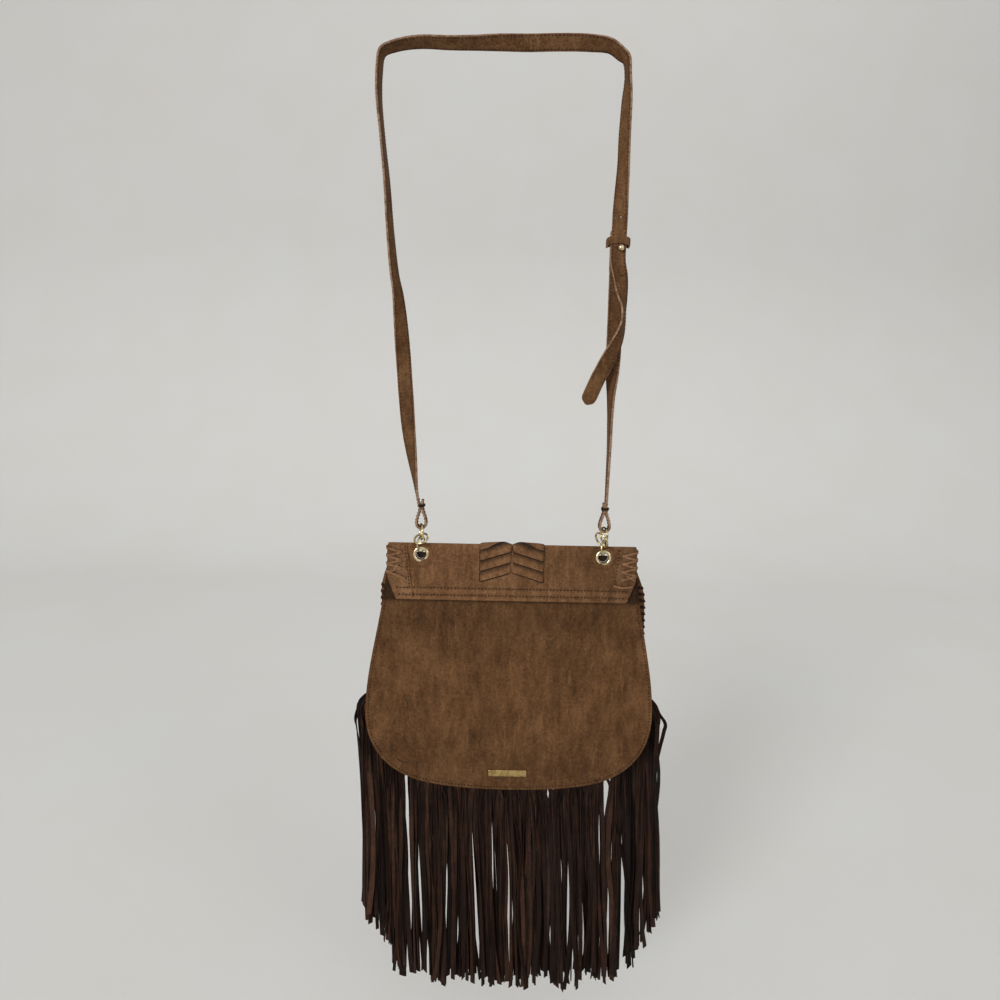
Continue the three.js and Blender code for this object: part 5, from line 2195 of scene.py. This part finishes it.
    def section(self, name: str, rim: np.ndarray, roots: Sequence[tuple]) -> None:
        """One bunch of strips with its header.

        Args:
            name: The CAD node that it stands for.
            rim: The run of the seam, as (x, drop).
            roots: What each strip is made from.
        """
        plan = self.plan
        strips = [self.strip(*root) for root in roots]
        shape = Shape().bars(np.array([s[0] for s in strips]), tones=np.array([s[1] for s in strips]))
        middle = np.array([0.0, plan.bag_height / 2])
        inner = rim + unit(middle - rim) * 8.5
        grids = []
        for back in (0.0, 1.3):
            rows = [
                np.stack([run[:, 0], plan.header_inner(run[:, 1]) + back, plan.ridge_z - run[:, 1]], 1)
                for run in (inner, rim)
            ]
            grids.append(np.array(rows))
        shape.sheet(*grids, edges=0)
        obj = shape.build(name.replace("fringe_", "strips_"), [self.finishes.fringe])
        place(obj, Body.BAG, Slot.FRINGE, [name])

    def build(self) -> None:
        """The three bunches."""
        plan = self.plan
        rim = plan.rim(self.side_top, 0)
        pick = self.chance
        roots = []
        span = self.centre_half - 3
        clumps = self.clumps(-span, span)
        for layer in range(self.layers):
            for i in range(self.centre_count):
                x = -span + 2 * span * (i + layer / self.layers) / (self.centre_count - 1 / self.layers)
                near = min(clumps, key=lambda c: abs(c.middle - x))
                end = self.foot - 14 * (x / span) ** 2
                roots.append(((x, self.drop_at(x)), x + pick.uniform(-1.5, 1.5), end, layer, near))
        self.section("fringe_centre", rim[np.abs(rim[:, 0]) <= self.centre_half], roots)
        foot_drop = self.drop_at(self.centre_half + 3)
        for side in Side:
            reach = sorted((side.value * self.side_reach, side.value * (self.side_reach - self.side_span)))
            clumps = self.clumps(*reach)
            kept = (np.sign(rim[:, 0]) == side.value) & (rim[:, 1] <= foot_drop)
            roots = []
            for layer in range(self.layers):
                for i in range(self.side_count):
                    share = (i + layer / self.layers) / (self.side_count - 1 / self.layers)
                    drop = self.side_top + 4 + (foot_drop - self.side_top - 8) * share**0.8
                    hang = side.value * (self.side_reach - self.side_span * share) + pick.uniform(-1.5, 1.5)
                    end = self.side_foot + (self.foot - 12 - self.side_foot) * share**0.7
                    near = min(clumps, key=lambda c: abs(c.middle - hang))
                    root = (side.value * float(plan.body_half(drop)), drop)
                    roots.append((root, hang, end, layer, near))
            name = f"fringe_{side.word}"
            self.section(name, rim[kept & (np.abs(rim[:, 0]) > self.centre_half)], roots)


@dataclass
class Studio:
    """Floor, backdrop, lamps, world and camera."""

    floor_z: float = -1.085
    wall_y: float = 3.8
    sweep_radius: float = 1.7
    sky_strength: float = 0.55
    horizon: Colour = (173, 171, 169)
    zenith: Colour = (255, 255, 254)
    paper: Colour = (203, 203, 201)
    eye: tuple[float, float, float] = (-0.01407, -0.7509, -0.3348)
    aim: tuple[float, float, float] = (-0.01407, 0.0, -0.439)
    roll: float = 1.15
    lens: float = 26.0
    sensor: float = 36.0
    half_width: float = 14.0
    front_y: float = -3.0
    wall_top: float = 7.0
    lamp_aim: tuple[float, float, float] = (0.0, 0.0, -0.6)

    LAMPS = (
        ("key", (-4.6, -7.4, 1.8), 3.0, 500),
        ("fill", (6.8, -6.6, 2.2), 3.6, 120),
        ("top_front", (0.8, 2.6, 5.2), 3.0, 110),
    )

    def build_stage(self) -> None:
        """A pale sweep that curves up from the floor behind the bag."""
        turn, radius = self.wall_y - self.sweep_radius, self.sweep_radius
        path = [(self.front_y, self.floor_z), (turn, self.floor_z)]
        for a in np.linspace(0, math.pi / 2, 25)[1:]:
            path.append((turn + radius * math.sin(a), self.floor_z + radius * (1 - math.cos(a))))
        path.append((self.wall_y, self.wall_top))
        points = [(x, y, z) for y, z in path for x in (-self.half_width, self.half_width)]
        faces = [(2 * i, 2 * i + 1, 2 * i + 3, 2 * i + 2) for i in range(len(path) - 1)]
        mesh = bpy.data.meshes.new("sweep")
        mesh.from_pydata(points, [], faces)
        mesh.materials.append(Backdrop().material())
        mesh.polygons.foreach_set("use_smooth", [True] * len(faces))
        sweep = add_object("sweep", mesh)

    def build_lamp(self, name: str, where: Sequence[float], size: float, watts: float) -> None:
        """A square soft lamp that looks at the bag.

        Args:
            name: The lamp's name.
            where: Its place, in metres.
            size: The length of its side.
            watts: Its power.
        """
        data = bpy.data.lights.new(name, "AREA")
        data.size = size
        data.energy = watts
        lamp = add_object(name, data)
        lamp.location = where
        lamp.visible_camera = False
        aim = Vector(self.lamp_aim) - Vector(where)
        lamp.rotation_euler = aim.to_track_quat("-Z", "Y").to_euler()

    def build_world(self) -> None:
        """Even light from all round, with plain paper where the world itself is seen or mirrored."""
        world = bpy.data.worlds.new("soft_room")
        board = Board(world)
        where = board.node("TexCoord", output="Generated")
        height = board.node("SeparateXYZ", None, {0: where}, "Z")
        sky = board.ramp(height, [(0, self.horizon), (1, self.zenith)])
        light = board.node("Background", None, {"Color": sky, "Strength": self.sky_strength})
        paper = board.node("Background", None, {"Color": linear(self.paper)})
        camera = board.node("LightPath", output="Is Camera Ray")
        glossy = board.node("LightPath", output="Is Glossy Ray")
        through = board.node("LightPath", output="Is Transmission Ray")
        seen = camera + glossy + through
        chosen = board.node("MixShader", None, {0: seen, 1: light, 2: paper})
        board.node("OutputWorld", None, {"Surface": chosen})
        bpy.context.scene.world = world

    def build_camera(self) -> None:
        """The camera, pitched down and rolled a little."""
        data = bpy.data.cameras.new("camera")
        data.lens = self.lens
        data.sensor_width = self.sensor
        camera = add_object("camera", data)
        aim = Vector(self.aim) - Vector(self.eye)
        turn = aim.to_track_quat("-Z", "Y").to_matrix().to_4x4()
        roll = Matrix.Rotation(math.radians(self.roll), 4, "Z")
        camera.matrix_world = Matrix.Translation(self.eye) @ turn @ roll
        bpy.context.scene.camera = camera

    def build(self) -> None:
        """The whole studio."""
        bpy.context.scene.view_settings.view_transform = "Standard"
        self.build_stage()
        for lamp in self.LAMPS:
            self.build_lamp(*lamp)
        self.build_world()
        self.build_camera()


def main() -> None:
    """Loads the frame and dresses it."""
    logging.basicConfig(level=logging.INFO, format="%(message)s")
    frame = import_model()
    plan = Plan()
    finishes = Finishes(plan)
    Studio().build()
    bag = Bag(plan, finishes)
    bag.build_back()
    bag.build_front()
    bag.build_gusset()
    bag.build_plate()
    bag.build_closure(frame["nodes"])
    Band(plan, finishes).build()
    Flap(plan, finishes).build()
    Straps(plan, finishes).build()
    Rings(plan, finishes).build()
    Fringe(plan, finishes).build()


if __name__ == "__main__":
    main()
